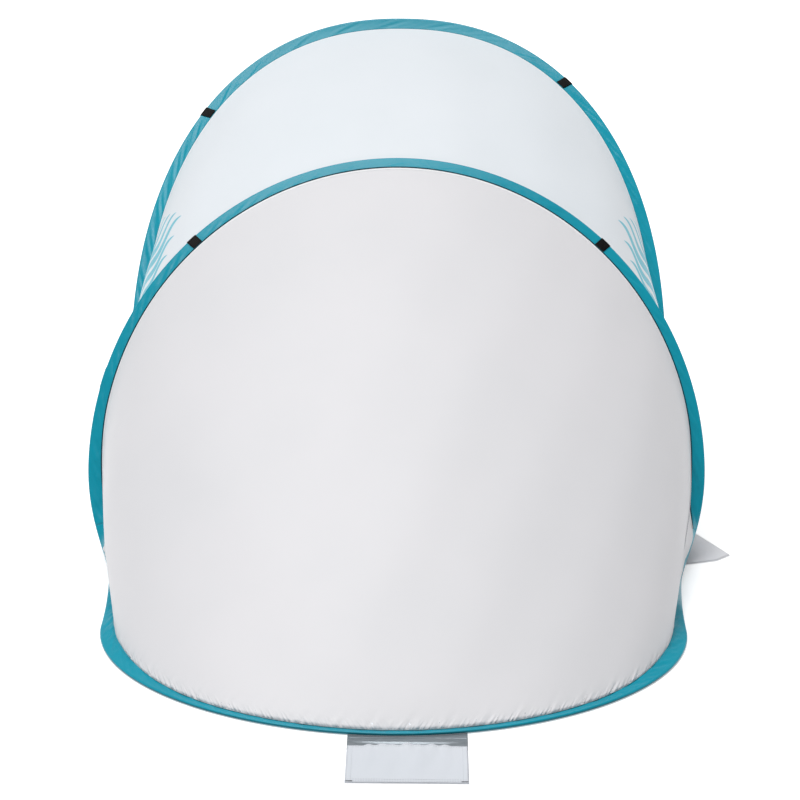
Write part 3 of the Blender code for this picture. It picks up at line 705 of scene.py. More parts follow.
def look(name, place, turn, pitch, roll):
    """A camera at a place, turned from straight ahead, pitched down and rolled."""
    level = math.cos(pitch)
    forward = np.array((math.sin(turn) * level, math.cos(turn) * level, -math.sin(pitch)))
    right = unit(np.cross(forward, (0.0, 0.0, 1.0)))
    up = np.cross(right, forward)
    turned_right = math.cos(roll) * right + math.sin(roll) * up
    turned_up = math.cos(roll) * up - math.sin(roll) * right
    matrix = np.eye(4)
    matrix[:3, :3] = np.stack((turned_right, turned_up, -forward), axis=1)
    matrix[:3, 3] = place
    data = bpy.data.cameras.new(name)
    data.lens = lens_length
    data.sensor_width = sensor_width
    data.clip_end = far_clip
    camera = bpy.data.objects.new(name, data)
    bpy.context.scene.collection.objects.link(camera)
    camera.matrix_world = Matrix(matrix.tolist())
    bpy.context.scene.camera = camera


look("photo_camera", camera_place, camera_turn, camera_pitch, camera_roll)
print("camera at", camera_place, "with a lens of", lens_length, "mm")

# %% Floor and sky
floor_size = 60.0
floor_drop = 0.001
floor_glow = 0.40
sky_level = 0.30
white = (1.0, 1.0, 1.0, 1.0)


def seen_by(tree, *rays):
    """1 where one of the kinds of ray looks, and 0 for light that falls on the tent."""
    light_path = add(tree, "ShaderNodeLightPath")
    seen = light_path.outputs[rays[0]]
    for ray in rays[1:]:
        seen = math_node(tree, "MAXIMUM", seen, light_path.outputs[ray])
    return seen


ground, tree, shader = new_material("studio_floor", Base_Color=linear("#F7F7F8"), Roughness=0.9)
seen = seen_by(tree, "Is Camera Ray", "Is Glossy Ray", "Is Transmission Ray")
shader.inputs["Emission Color"].default_value = white
tree.links.new(math_node(tree, "MULTIPLY", seen, floor_glow), shader.inputs["Emission Strength"])
half = floor_size / 2
corners = [(x * half, y * half, -floor_drop) for x, y in ((-1, -1), (1, -1), (1, 1), (-1, 1))]
studio_floor = make_piece("studio_floor", corners, [(0, 1, 2, 3)], [ground])

world = bpy.data.worlds.new("white_studio")
bpy.context.scene.world = world
world.use_nodes = True
tree = world.node_tree
sky = tree.nodes["Background"]
sky.inputs["Color"].default_value = white
strength = add(tree, "ShaderNodeMapRange", {"To Min": sky_level, "To Max": 1.0},
               {"Value": seen_by(tree, "Is Camera Ray", "Is Transmission Ray")})
tree.links.new(strength.outputs[0], sky.inputs["Strength"])
print("floor", floor_size, "m wide, sky level", sky_level)

# %% Sun
sun_direction = (0.18, 0.04, -0.98)
sun_strength = 2.58
sun_spread = math.radians(46.0)
data = bpy.data.lights.new("key_sun", "SUN")
data.energy = sun_strength
data.angle = sun_spread
lamp = bpy.data.objects.new("key_sun", data)
bpy.context.scene.collection.objects.link(lamp)
back = -unit(np.array(sun_direction))
right = unit(np.cross((0.0, 0.0, 1.0), back))
matrix = np.eye(4)
matrix[:3, :3] = np.stack((right, np.cross(back, right), back), axis=1)
lamp.matrix_world = Matrix(matrix.tolist())
bpy.context.scene.view_settings.view_transform = "Standard"
print("sun shines along", sun_direction)

# %% [markdown]
# ## Sleeves
# A sleeve is one strip of cloth folded round the wire and sewn shut at its inner edge. Its section is drawn
# once: a round nose over the wire, two flanks that come together, and the sewn edge. The cloth is really
# there as two surfaces, outer and inner, with the wire in the hollow between them. Pulled round a curve, a
# flat strip has to ripple, so the flanks get slanting ripples of mixed length that die out at the seam.

# %% Sleeve section
cloth_wall = 0.00045
edge_thinning = 0.8
nose_points = 11
flank_points = 13
flank_bend = 2.2


def sleeve_section(shrink=0.0):
    """Out and side of the points round a sleeve, starting on its upper face at the nose."""
    turns = np.linspace(math.pi / 2, -math.pi / 2, nose_points)
    nose = nose_radius - shrink
    end = seam_reach - 2 * shrink
    edge = seam_half - shrink * edge_thinning
    out = np.linspace(0.0, -end, flank_points + 1)[1:]
    half = edge + (nose - edge) * (1 + out / end) ** flank_bend
    lower = np.stack((out, -half), axis=1)
    upper = np.stack((out, half), axis=1)[::-1]
    return np.concatenate((np.stack((nose * np.cos(turns), nose * np.sin(turns)), axis=1), lower, upper))


def walled_tube(path, outer, inner):
    """Points and faces of an open tube whose wall lies between two sets of rings. Its rims come last."""
    columns, rows = outer.shape[:2]
    count = columns * rows
    last = count - rows
    ring = np.arange(rows)
    following = (ring + 1) % rows
    faces = np.concatenate((
        grid_faces(columns, rows, 0, wrap=True), grid_faces(columns, rows, count, wrap=True)[:, ::-1],
        np.stack((ring, following, following + count, ring + count), axis=1),
        np.stack((ring + last, ring + last + count, following + last + count, following + last), axis=1)))
    if dot(np.cross(path.along[0], path.out[0]), path.side[0]) < 0:
        faces = faces[:, ::-1]
    return np.stack((outer, inner)), faces


print("points round a sleeve:", len(sleeve_section()))

# %% Rippled sleeves
wave_lengths = (0.021, 0.041, 0.063, 0.11)
slant_lengths = (0.034, 0.05, 0.09)
slant = 2.5
wave_share = 0.35
slant_share = 0.75
# ripples are weaker where a hoop runs across the tent, and die out at a sleeve's ends and under a band
top_share = 0.35
end_calm = 0.02
band_calm = (0.016, 0.05)
flank_fullness = 1.3
# a ferrule joins the wire's ends at this share of an arch, and swells the sleeve a little
ferrule_share = 0.8625
ferrule_length = 0.036
ferrule_swell = 0.0011
ferrule_fade = 0.008


def ripple_reach(out):
    """How freely the cloth may move: not at the nose, most in the flank, not at the seam."""
    share = np.clip(-out / seam_reach, 0.0, 1.0)
    return np.sin(math.pi * share) ** flank_fullness


def sleeve(name, path, seed, amplitude, calm=(), lump=None):
    """A rippled fabric tube. A band holds it still at each place in calm, and a ferrule swells it at lump."""
    run = path.run()[:, None]
    free = ease(run, 0.0, end_calm) * ease(run[-1] - run, 0.0, end_calm)
    for place in calm:
        free = free * ease(np.abs(run - place), *band_calm)
    free = free * (top_share + (1 - top_share) * path.out[:, :1] ** 2)
    swell = np.zeros_like(run)
    if lump is not None:
        half = ferrule_length / 2
        swell = ferrule_swell * (1 - ease(np.abs(run - lump), half, half + ferrule_fade))
    walls = []
    for shrink in (0.0, cloth_wall):
        out, side = sleeve_section(shrink).T[:, None, :]
        waves = wave_share * ripple(seed, (run, out), wave_lengths)
        slants = slant_share * ripple(seed + 50, (run + slant * out, out), slant_lengths)
        shift = amplitude * free * ripple_reach(out) * (waves + slants)
        grown = 1 + swell * np.clip(1 + out / nose_radius, 0.0, 1.0) / nose_radius
        walls.append(path.carry(out * grown, side * grown + shift))
    points, faces = walled_tube(path, *walls)
    section = sleeve_section()
    around = np.concatenate(((0.0,), np.cumsum(np.linalg.norm(np.diff(section, axis=0), axis=1))))
    from_nose = np.abs(around - around[nose_points // 2])
    v = np.minimum(from_nose, np.abs(around[-1] + nose_radius * math.pi / 2 - around))
    uv = np.stack(np.broadcast_arrays(run, v[None, :]), axis=-1)
    piece = make_piece(name, points, faces, [teal_cloth], np.stack((uv, uv)), flat=2 * len(section))
    return piece


# %% Sleeves on the arches, the ground and the bends
band_shares = {"rear": (0.29, 0.71), "front": (0.36, 0.677)}
arch_ripple = 0.0013
floor_ripple = 0.0010
bend_ripple = 0.0006
arch_seeds = (11, 12)
floor_seeds = (13, 14)
bend_seed = 15
for (hoop, path, body), seed in zip(arches, arch_seeds):
    length = path.run()[-1]
    calm_places = [float(share * length) for share in band_shares[hoop]]
    piece = sleeve(f"{hoop}_hoop_arch_cloth", path, seed, arch_ripple, calm_places, ferrule_share * length)
    settle(piece, body, f"{hoop}_hoop_arch_sleeve")
for (hoop, path, body), seed in zip(floors, floor_seeds):
    piece = sleeve(f"{hoop}_hoop_floor_cloth", path, seed, floor_ripple)
    settle(piece, body, f"{hoop}_hoop_floor_sleeve")
for hoop, bends in waist_bends:
    for side, path in bends.items():
        piece = sleeve(f"{hoop}_hoop_waist_cloth_{side}", path, bend_seed, bend_ripple)
        settle(piece, node=f"{hoop}_hoop_waist_sleeve_{side}")
        share = np.repeat(angle_share(path.point, hoop), len(sleeve_section()))
        fold(piece, np.concatenate((share, share)))

# %% [markdown]
# ## Wires
# The wire is a tube that follows a path, which is what Geometry Nodes does best. One tree turns a line of
# points into a curve and sweeps a circle along it. Its radius and its number of sides are inputs. The
# result is kept as a plain mesh, so nothing is left to work out when the model is exported.

# %% Running a Geometry Nodes tree
def line_object(name, lines):
    """A mesh of edges only, one open line for each list of points."""
    points, edges = [], []
    for line in lines:
        edges += [(len(points) + i, len(points) + i + 1) for i in range(len(line) - 1)]
        points += [tuple(float(x) for x in p) for p in line]
    mesh = bpy.data.meshes.new(name)
    mesh.from_pydata(points, edges, [])
    made = bpy.data.objects.new(name, mesh)
    bpy.context.scene.collection.objects.link(made)
    return made


def new_tree(name, inputs):
    """An empty Geometry Nodes tree with named inputs, and its group input and output nodes."""
    tree = bpy.data.node_groups.new(name, "GeometryNodeTree")
    tree.interface.new_socket(name="Geometry", in_out="INPUT", socket_type="NodeSocketGeometry")
    for title, kind in inputs:
        tree.interface.new_socket(name=title, in_out="INPUT", socket_type=kind)
    tree.interface.new_socket(name="Geometry", in_out="OUTPUT", socket_type="NodeSocketGeometry")
    return tree, add(tree, "NodeGroupInput"), add(tree, "NodeGroupOutput")


def end_tree(tree, source, result, made):
    """Ends a tree: what it made becomes real geometry and gets the tree's material."""
    real = add(tree, "GeometryNodeRealizeInstances", links={"Geometry": made})
    finished = add(tree, "GeometryNodeSetMaterial", links={
        "Geometry": real.outputs[0], "Material": source.outputs["Material"]})
    tree.links.new(finished.outputs[0], result.inputs[0])


def run_tree(made, tree, values):
    """Runs a tree on an object, and puts the plain mesh it makes in the object's place."""
    modifier = made.modifiers.new(tree.name, "NODES")
    modifier.node_group = tree
    for item in tree.interface.items_tree:
        if item.in_out == "INPUT" and item.name in values:
            modifier[item.identifier] = values[item.name]
    made.update_tag()
    depsgraph = bpy.context.evaluated_depsgraph_get()
    mesh = bpy.data.meshes.new_from_object(made.evaluated_get(depsgraph), depsgraph=depsgraph)
    made.modifiers.remove(modifier)
    made.data = mesh
    mesh.name = made.name
    mesh.polygons.foreach_set("use_smooth", np.ones(len(mesh.polygons), bool))
    return made


# %% A tube along a line
tube_tree, source, result = new_tree("tube_along_a_line", (
    ("Radius", "NodeSocketFloat"), ("Sides", "NodeSocketInt"), ("Material", "NodeSocketMaterial")))
curve = add(tube_tree, "GeometryNodeMeshToCurve", links={"Mesh": source.outputs["Geometry"]})
ring = add(tube_tree, "GeometryNodeCurvePrimitiveCircle", links={
    "Resolution": source.outputs["Sides"], "Radius": source.outputs["Radius"]})
swept = add(tube_tree, "GeometryNodeCurveToMesh", {"Fill Caps": True}, {
    "Curve": curve.outputs[0], "Profile Curve": ring.outputs[0]})
end_tree(tube_tree, source, result, swept.outputs[0])


def tube(name, points, radius, sides, material):
    values = {"Radius": radius, "Sides": sides, "Material": material}
    return run_tree(line_object(name, [points]), tube_tree, values)


print("nodes in the tube's tree:", len(tube_tree.nodes))

# %% [markdown]
# ### Wires and ferrules
# Each hoop's wire starts and ends inside a ferrule on its arch, a short tube crimped round both ends. The
# ferrule follows the same path as the wire, so it needs only a few rings, with the crimp as a narrower
# stretch between two flared ends.

# %% Wires and ferrules
wire_radius = 0.00175
wire_sides = 10
wire_places = 200
wire_end_gap = 0.001
ferrule_radius = 0.0029
ferrule_sides = 24
crimp_place_shares = np.array((-0.5, -0.47, -0.36, -0.33, 0.33, 0.36, 0.47, 0.5))
crimp_size_shares = np.array((0.94, 1.0, 1.0, 0.86, 0.86, 1.0, 1.0, 0.94))


def wire(name, path, node, body=None):
    """One length of a hoop's wire."""
    piece = tube(name, path.point, wire_radius, wire_sides, spring_steel)
    return settle(piece, body, node)


def ferrule(name, path, middle, node, body):
    """A crimped tube round the meeting ends of the wire."""
    place = path.at(crimp_place_shares * ferrule_length + middle)
    turns = np.linspace(2 * math.pi, 0.0, ferrule_sides, endpoint=False)
    bore = np.full(len(crimp_size_shares), wire_radius + clearance / 2)
    walls = [place.carry(np.outer(radii, np.cos(turns)), np.outer(radii, np.sin(turns)))
             for radii in (crimp_size_shares * ferrule_radius, bore)]
    points, faces = walled_tube(place, *walls)
    settle(make_piece(name, points, faces, [zinc]), body, node)


for hoop, path, body in arches:
    length = path.run()[-1]
    meeting = ferrule_share * length
    ends = {"right": (0.0, meeting - wire_end_gap / 2), "left": (meeting + wire_end_gap / 2, length)}
    for side, (low, high) in ends.items():
        half_wire = path.at(np.linspace(low, high, wire_places))
        wire(f"{hoop}_hoop_arch_steel_{side}", half_wire, f"{hoop}_hoop_arch_wire_{side}", body)
    ferrule(f"{hoop}_hoop_crimped_ferrule", path, meeting, f"{hoop}_hoop_ferrule", body)
for hoop, path, body in floors:
    wire(f"{hoop}_hoop_floor_steel", path, f"{hoop}_hoop_floor_wire", body)
for hoop, bends in waist_bends:
    for side, path in bends.items():
        piece = wire(f"{hoop}_hoop_waist_steel_{side}", path, f"{hoop}_hoop_waist_wire_{side}")
        fold(piece, nearest_shares(piece, path.point, angle_share(path.point, hoop)))
print("wires and ferrules made")

# %% [markdown]
# ### Painted shade line
# A thin dark cord lies on the rear arch's sleeve, just above the edge of the rear wall. It is painted shade,
# the shadow line where the wall meets the sleeve. It runs beside the same path, so it is one more tube,
# laid against the sleeve's face.

# %% Painted shade line on the rear arch
shade_cord_radius = 0.0010
shade_cord_sides = 8
shade_cord_in = 0.0052
line = rear_arch.place(shade_cord_in - seam_reach, seam_half + clearance + shade_cord_radius)
piece = tube("rear_arch_painted_shade_cord", line, shade_cord_radius, shade_cord_sides, painted_shade_cord)
settle(piece, "rear_arch")
print("piping faces:", len(piece.data.polygons))

# %% [markdown]
# ## Walls and roof
# The cloth between two hoops is a grid whose first row lies on one seam and whose last row lies on the
# other. Between them it swells outward. Sewing gathers the cloth a little, so short puckers run in from
# each hem and fade within a few centimetres.

# %% Panel grids
rear_up = np.array((0.0, -1.0, 1.0))
panel_rows = 72
row_crowding = 0.65
rear_crown = 0.045
roof_crown = 0.012


def panel_grid(low, high, crown):
    """A swelling grid between two seams, with its rows closer together near the seams."""
    share = np.linspace(0.0, 1.0, panel_rows + 1)
    crowded = (1 - np.cos(math.pi * share)) / 2
    share = ((1 - row_crowding) * share + row_crowding * crowded)[None, :, None]
    grid = (1 - share) * low[:, None, :] + share * high[:, None, :]
    chord = high - low
    length = np.linalg.norm(chord, axis=1)
    normal = unit(np.cross(np.gradient(0.5 * (low + high), axis=0), chord))
    normal *= np.sign(normal @ rear_up)[:, None]
    normal[:, 0] = np.abs(normal[:, 0]) * np.sign(low[:, 0])
    swell = crown * (length / length.max())
    return grid + np.sin(math.pi * share) * swell[:, None, None] * normal[:, None, :]


# %% Puckers and slow waves
hem_lengths = (0.013, 0.017, 0.023, 0.036)
slow_lengths = (0.21, 0.34, 0.55)
hem_slant = 0.7
slow_border = 0.12
# where the puckers of a hem start, where they are full, and over what length they fade
first_hem = (0.001, 0.007, 0.012)
last_hem = (0.002, 0.008, 0.016)


def puckers(seed, along, away, depth, hem):
    """Puckers that run in from a hem, by the distance along it and away from it."""
    start, full, fade = hem
    pleats = ripple(seed, (along, 0 * along), hem_lengths)
    return pleats * depth * ease(away, start, full) * np.exp(-away / fade)


def gathered(grid, seed, first_depth, last_depth, drift):
    """Adds puckers at the first and last rows' hems, and slow waves over the whole cloth."""
    normals, uv = grid_normals(grid), measured(grid)
    u, v = uv[..., 0], uv[..., 1]
    from_last = v[:, -1:] - v
    first = puckers(seed, u + hem_slant * v, v, first_depth, first_hem)
    last = puckers(seed + 1, u, from_last, last_depth, last_hem)
    inside = ease(v, 0.0, slow_border) * ease(from_last, 0.0, slow_border)
    slow = ripple(seed + 2, (u, v), slow_lengths) * drift * inside
    return grid + (first + last + slow)[..., None] * normals


# %% [markdown]
# ## Seam tapes
# The raw edges of sewn cloth fray, so each seam is covered by a narrow pale tape. From a distance it reads
# as a thin light line between the teal sleeve and the wall. The wall's hem laps the ring's sleeve, most at
# the rear, and the tape there follows it. The two seams up the rear wall have a tape too.

# %% Tapes along the seams
tape_thickness = 0.0004
tape_gap = 0.0001
tape_lift = fabric / 2 + tape_thickness / 2 + tape_gap
# the tape's section: distances from the sewn edge, and how far it drops there below its height on the panel
tape_outs = np.array((0.0040, 0.0033, 0.0026, 0.0019, 0.0006, -0.0008, -0.0022))
tape_drops = np.array((0.0011, 0.0008, 0.0003, 0.0, 0.0, 0.0, 0.0))
ring_tape_share = 0.6
# how much further the hem laps at the rear, and between which turns of the ring the lap grows
rear_lap = 0.015
lap_turn_shares = (0.3, 0.9)
tape_cloth = polyester("white_seam_tape", "#F1F3F5", "#ECEEF0", 0.55, weave_depth=0.00008,
                       crease_depth=0.0002)[0]
tape_rows = (
    # name, body, path, and which face of its sleeve the tape lies on
    ("rear_arch_tape", "rear_arch", rear_arch, 1),
    ("rear_arch_inner_tape", "rear_arch", rear_arch, -1),
    ("front_arch_tape", "front_arch", front_arch, 1),
    ("rear_ring_tape", "rear_floor", rear_floor, 1),
)
tapes = {}


def ring_lap(path):
    """How far the wall's hem laps the ring's sleeve, and how high it lies on the sleeve's flank there."""
    more = rear_lap * ease(-path.out[:, 1], *lap_turn_shares)
    lap = seam_lap + more
    flank = (nose_radius - seam_half) * (lap / seam_reach) ** flank_bend
    return lap, flank + floor_ripple * more / rear_lap


for name, body, path, face in tape_rows:
    lap, lift, outs = seam_lap, 0.0, tape_outs
    if name == "rear_ring_tape":
        lap, lift = ring_lap(path)
        outs = tape_outs * ring_tape_share
    inward, height = lap - seam_lap - seam_reach, panel_offset + tape_lift + lift
    grid = np.stack([path.place(out + inward, face * (height - drop))
                     for out, drop in zip(outs, tape_drops)], axis=1)
    piece = cloth(name, grid, face * path.side.mean(axis=0), [tape_cloth, tape_cloth], tape_thickness,
                  held=None)
    tapes[name] = settle(piece, body)
print("tapes:", ", ".join(tapes))

# %% [markdown]
# ## Rear wall
# The rear wall is one grid from the ring to the rear arch, which also takes in half of each waist bend. It
# is made whole, so that its puckers and swell run on, and is then cut at two seams into the wide middle
# panel and a narrow strip at each side.

# %% Rear wall grid
wall_seed = 21
wall_first_depth = 0.0020
wall_last_depth = 0.0004
wall_drift = 0.0012
side_seam_share = 0.075
# every other place of a bend, from beside its middle to its end
bend_order = list(range(bend_places // 2 - 1, 0, -2))
ends = {}
for side, order in (("right", bend_order), ("left", bend_order[::-1])):
    mirrored_order = [bend_places - 1 - i for i in order]
    ends[side] = (rear_bends[side].part(mirrored_order), rear_bends[side].part(order))
low_paths = [ends["right"][0], rear_floor, ends["left"][0]]
high_paths = [ends["right"][1], rear_arch, ends["left"][1]]
ring_laps, ring_lifts = ring_lap(rear_floor)
hem_line = rear_floor.place(ring_laps - seam_reach, panel_offset + ring_lifts)
low_line = np.concatenate((low_paths[0].seam(1), hem_line, low_paths[2].seam(1)))
high_line = np.concatenate([path.seam(1) for path in high_paths])
low_share = np.concatenate([angle_share(path.point, "rear") for path in low_paths])
high_share = np.concatenate([angle_share(path.point, "rear") for path in high_paths])
wall = gathered(panel_grid(low_line, high_line, rear_crown), wall_seed, wall_first_depth, wall_last_depth,
                wall_drift)
wall_shares = grid_share(wall, "rear", low_share, high_share)
split = len(ends["right"][0].point) + int(side_seam_share * floor_places)
seam_columns = {"right": split, "left": len(wall) - 1 - split}
print("rear wall grid:", wall.shape[:2], "cut at columns", seam_columns)

# %% Tapes on the wall's two seams
seam_tape_width = 0.010
seam_tape_crown = 0.0006
seam_tape_points = 5
seam_tape_end = 2


def seam_frame(column):
    """The middle line, the sideways direction and the outward normal of a seam up the wall."""
    sideways = unit(wall[column + 1] - wall[column - 1])
    normals = grid_normals(wall)[column]
    return wall[column], sideways, normals * np.sign(normals @ rear_up)[:, None]


wall_seams = []
used = slice(seam_tape_end, -seam_tape_end)
for side, column in seam_columns.items():
    middle, sideways, normals = (part[used] for part in seam_frame(column))
    over = np.linspace(-0.5, 0.5, seam_tape_points)
    heights = tape_lift + seam_tape_crown * np.cos(over * math.pi)
    grid = np.stack([middle + w * sideways + h * normals for w, h in zip(over * seam_tape_width, heights)])
    shares = np.repeat(wall_shares[column, used][None, :], seam_tape_points, axis=0)
    piece = cloth(f"rear_wall_seam_{side}", grid, rear_up, [wall_cloth, wall_cloth], tape_thickness,
                  held=None, shares=shares)
    wall_seams.append(settle(piece))

# %% Wall panels
on_wall = [*wall_seams, tapes["rear_arch_tape"], tapes["rear_ring_tape"]]
cuts = (
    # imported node, piece, its columns of the grid, and the tapes sewn on it
    ("rear_side_panel_right", "rear_side_cloth_right", slice(0, split + 1), ()),
    ("rear_panel", "rear_wall_cloth", slice(split, len(wall) - split), on_wall),
    ("rear_side_panel_left", "rear_side_cloth_left", slice(len(wall) - split - 1, None), ()),
)
for node, name, keep, on_it in cuts:
    piece = cloth(name, wall[keep], rear_up, [gathered_cloth, silver_side], shares=wall_shares[keep])
    settle(piece, node=node)

# %% [markdown]
# ## Roof
# The roof is the same kind of grid, from the inner face of the rear arch to the outer face of the front
# arch. It is drawn tight, so it swells less and its puckers are small.

# %% Roof
roof_seed = 31
roof_pucker_depth = 0.0006
roof_drift = 0.0016
roof = gathered(panel_grid(rear_arch.seam(-1), front_arch.seam(1), roof_crown), roof_seed,
                roof_pucker_depth, roof_pucker_depth, roof_drift)
piece = cloth("roof_cloth", roof, rear_up, [roof_cloth, silver_side],
              shares=grid_share(roof, "roof", 1.0, 0.0))
settle(piece, node="roof_panel")

# %% [markdown]
# ## Corner gussets
# Where both hoops bend at the waist, a small piece of cloth closes the corner down to the floor. It folds
# with three hoops at once, so it is made in three wedges that meet along lines through the waist. Each
# wedge gets shares from the two hoops beside it, but is not made to follow them.

# %% Gusset edges
# the gusset takes every other place of a bend, up to a little before the bend meets the floor
gusset_last = 5 * (bend_places - 1) // 6 - 4
gusset_used = slice(0, gusset_last, 2)
hem_lift = 0.0004
hem_steps = 8
tuck_fade = 0.03
tuck_in = 0.009
tuck_gap = 0.0013


def under_seam(path):
    """The gusset's edge on the rear bend: under the sewn edge, and near the wire where that is turned."""
    near = ((1 - np.abs(path.out @ across)) * ease(path.run(), 0.0, tuck_fade))[:, None]
    out = (seam_lap - seam_reach) * (1 - near) - tuck_in * near
    return path.point + out * path.out - (panel_offset + tuck_gap * near) * path.side


def to_hem(edge, shares, hem_x):
    """The edge carried on in a straight line down to the hem at the floor, with its last share."""
    end = np.array((hem_x, edge[-1][1], waist_point[2] + hem_lift))
    steps = np.linspace(0.0, 1.0, hem_steps + 1)[1:, None]
    edge = np.concatenate((edge, edge[-1] + (end - edge[-1]) * steps))
    return edge, np.concatenate((shares, np.full(hem_steps, shares[-1])))


def crossing(low, high, angle):
    """How far along each line from low to high it crosses the plane at an angle through the waist."""
    normal = np.array((0.0, -math.sin(angle), math.cos(angle)))
    a, b = (low - waist_point) @ normal, (high - waist_point) @ normal
    return a / (a - b)


# %% Gusset wedges
gusset_crown = 0.004
wedge_rows = 12
least_share = 0.03
hem_x = abs(front_floor.place(-seam_reach - clearance, 0.0)[0][0]) + clearance + fabric / 2
for side, sign in (("right", 1.0), ("left", -1.0)):
    rear_part, front_part = rear_bends[side].part(gusset_used), front_bends[side].part(gusset_used)
    low, rear_shares = to_hem(under_seam(rear_part), angle_share(rear_part.point, "rear"), sign * hem_x)
    high, front_shares = to_hem(front_part.seam(1), angle_share(front_part.point, "front"), sign * hem_x)
    rear_cut = np.clip(crossing(low, high, rear_angle), least_share, 1 - 2 * least_share)
    front_cut = np.clip(crossing(low, high, front_angle), rear_cut + least_share, 1 - least_share)
    lengths = np.linalg.norm(high - low, axis=1)
    wedges = (
        # zone, where the wedge starts and ends between the edges, and the shares at its first and last row
        ("rear", np.zeros(len(low)), rear_cut, rear_shares, 0.0),
        ("roof", rear_cut, front_cut, 1.0, 0.0),
        ("front", front_cut, np.ones(len(low)), 1.0, front_shares),
    )
    for zone, start, end, first, last in wedges:
        share = start[:, None] + (end - start)[:, None] * np.linspace(0, 1, wedge_rows + 1)[None, :]
        grid = low[:, None, :] + (high - low)[:, None, :] * share[..., None]
        swell = gusset_crown * (lengths / lengths.max())[:, None] * np.sin(math.pi * share)
        grid = grid + (sign * swell)[..., None] * across
        piece = cloth(f"corner_gusset_{zone}_{side}", grid, sign * across, [roof_cloth, silver_side],
                      shares=grid_share(grid, zone, first, last))
        settle(piece, node=f"corner_gusset_{side}" if zone == "front" else None)

# %% [markdown]
# ## Floor
# The floor is heavier coated cloth. It lies flat on the ground in two halves that fold on each other at the
# waist line. It butts against the sewn edge of the ring, and where the rear sleeve stands up near the
# waist, it reaches in under it.

# %% Floor sheets
floor_rows = 60
floor_relief = 0.0016
floor_seed = 41
floor_lengths = (0.09, 0.17, 0.31)
floor_calm = 0.06
nose_gap = 0.0005
hem_half = front_floor.place(-seam_reach - clearance, 0.0)[0][0]
standing = np.abs(dot(rear_floor.out, rear_ground.out))
sheets = (
    # name, body, path, how flat its sleeve lies, and the sheet's direction from the waist line
    ("front", "root", front_floor, 1.0, 1.0),
    ("rear", "rear_floor", rear_ground, standing, -1.0),
)
for name, body, path, flatness, sign in sheets:
    least = nose_radius + nose_gap
    inward = least + (seam_reach + clearance - least) * flatness
    edge = path.place(-inward, 0.0)[::2]
    edge[:, 2] = fabric / 2
    fold_line = edge.copy()
    fold_line[:, 0] = np.linspace(hem_half, -hem_half, len(edge))
    fold_line[:, 1] = waist_point[1] + sign * clearance / 2
    share = np.linspace(0.0, 1.0, floor_rows + 1)[None, :]
    grid = (1 - share[..., None]) * fold_line[:, None, :] + share[..., None] * edge[:, None, :]
    from_side = np.abs(np.abs(grid[..., 0]) - abs(edge[0, 0]))
    calm = np.sin(math.pi * share) ** 0.5 * ease(from_side, 0.0, floor_calm)
    waves = 0.5 + 0.25 * ripple(floor_seed, (grid[..., 0], grid[..., 1]), floor_lengths)
    grid[..., 2] += floor_relief * calm * waves
    piece = cloth(f"floor_{name}_cloth", grid, (0.0, 0.0, 1.0), [floor_cloth, floor_cloth], held="laid")
    settle(piece, body, f"floor_sheet_{name}")

# %% [markdown]
# ## Grip bands
# Four short straps of webbing are wrapped round the sleeves, where hands and pegs hold the hoops. A band is
# a thick strip that starts on one flank, goes round the nose and ends on the other flank.

# %% Bands
band_length = 0.023
band_thickness = 0.0010
band_puff = 0.0003
band_margin = 0.006
band_steps = 15


def band_line(distance):
    """The strap's line round the sleeve's section, a distance outside it."""
    section = sleeve_section()
    flank = section[section[:, 0] > band_margin - seam_reach]
    turn = nose_points + (len(flank) - nose_points) // 2
    line = np.concatenate((flank[turn:], flank[:turn]))
    steps = np.gradient(line, axis=0)
    normals = unit(np.stack((-steps[:, 1], steps[:, 0]), axis=1))
    return line + normals * distance


def band(name, path, share, node, body):
    """A strap round the sleeve at a share of the way along it, a little fuller in its middle."""
    over = np.linspace(-0.5, 0.5, band_steps)
    rings = path.at(share * path.run()[-1] + over * band_length)
    puff = 1 - np.abs(2 * over) ** 6
    inner, outer = (np.stack([band_line(distance + extra * p) for p in puff])
                    for distance, extra in ((clearance, 0.0), (clearance + band_thickness, band_puff)))
    inner, outer = (rings.carry(lines[..., 0], lines[..., 1]) for lines in (inner, outer))
    grid = (inner + outer) / 2
    thickness = np.linalg.norm(outer - inner, axis=2)
    normals = grid_normals(grid)
    piece = cloth(name, grid, normals.mean(axis=(0, 1)), [webbing, webbing], thickness, "folded")
    middle = (band_steps // 2, grid.shape[1] // 2)
    if dot(normals[middle], rings.out[band_steps // 2]) < 0:
        piece.data.flip_normals()
    settle(piece, body, node)


for hoop, path, body in arches:
    for side, share in zip(("right", "left"), band_shares[hoop]):
        band(f"{hoop}_hoop_webbing_{side}", path, share, f"{hoop}_hoop_band_{side}", body)

# %% [markdown]
# ## Rear sand pocket
# Behind the rear edge lies a pocket to be filled with sand: a tab sewn to the ring, a base layer, and a
# pouch layer sewn to it on three sides, with an open hem at its mouth. Between tab and mouth the base is
# pushed up into one soft crease. The pouch lies loose, so it rises a little at its mouth and is rippled
# there, and sags between its side hems.

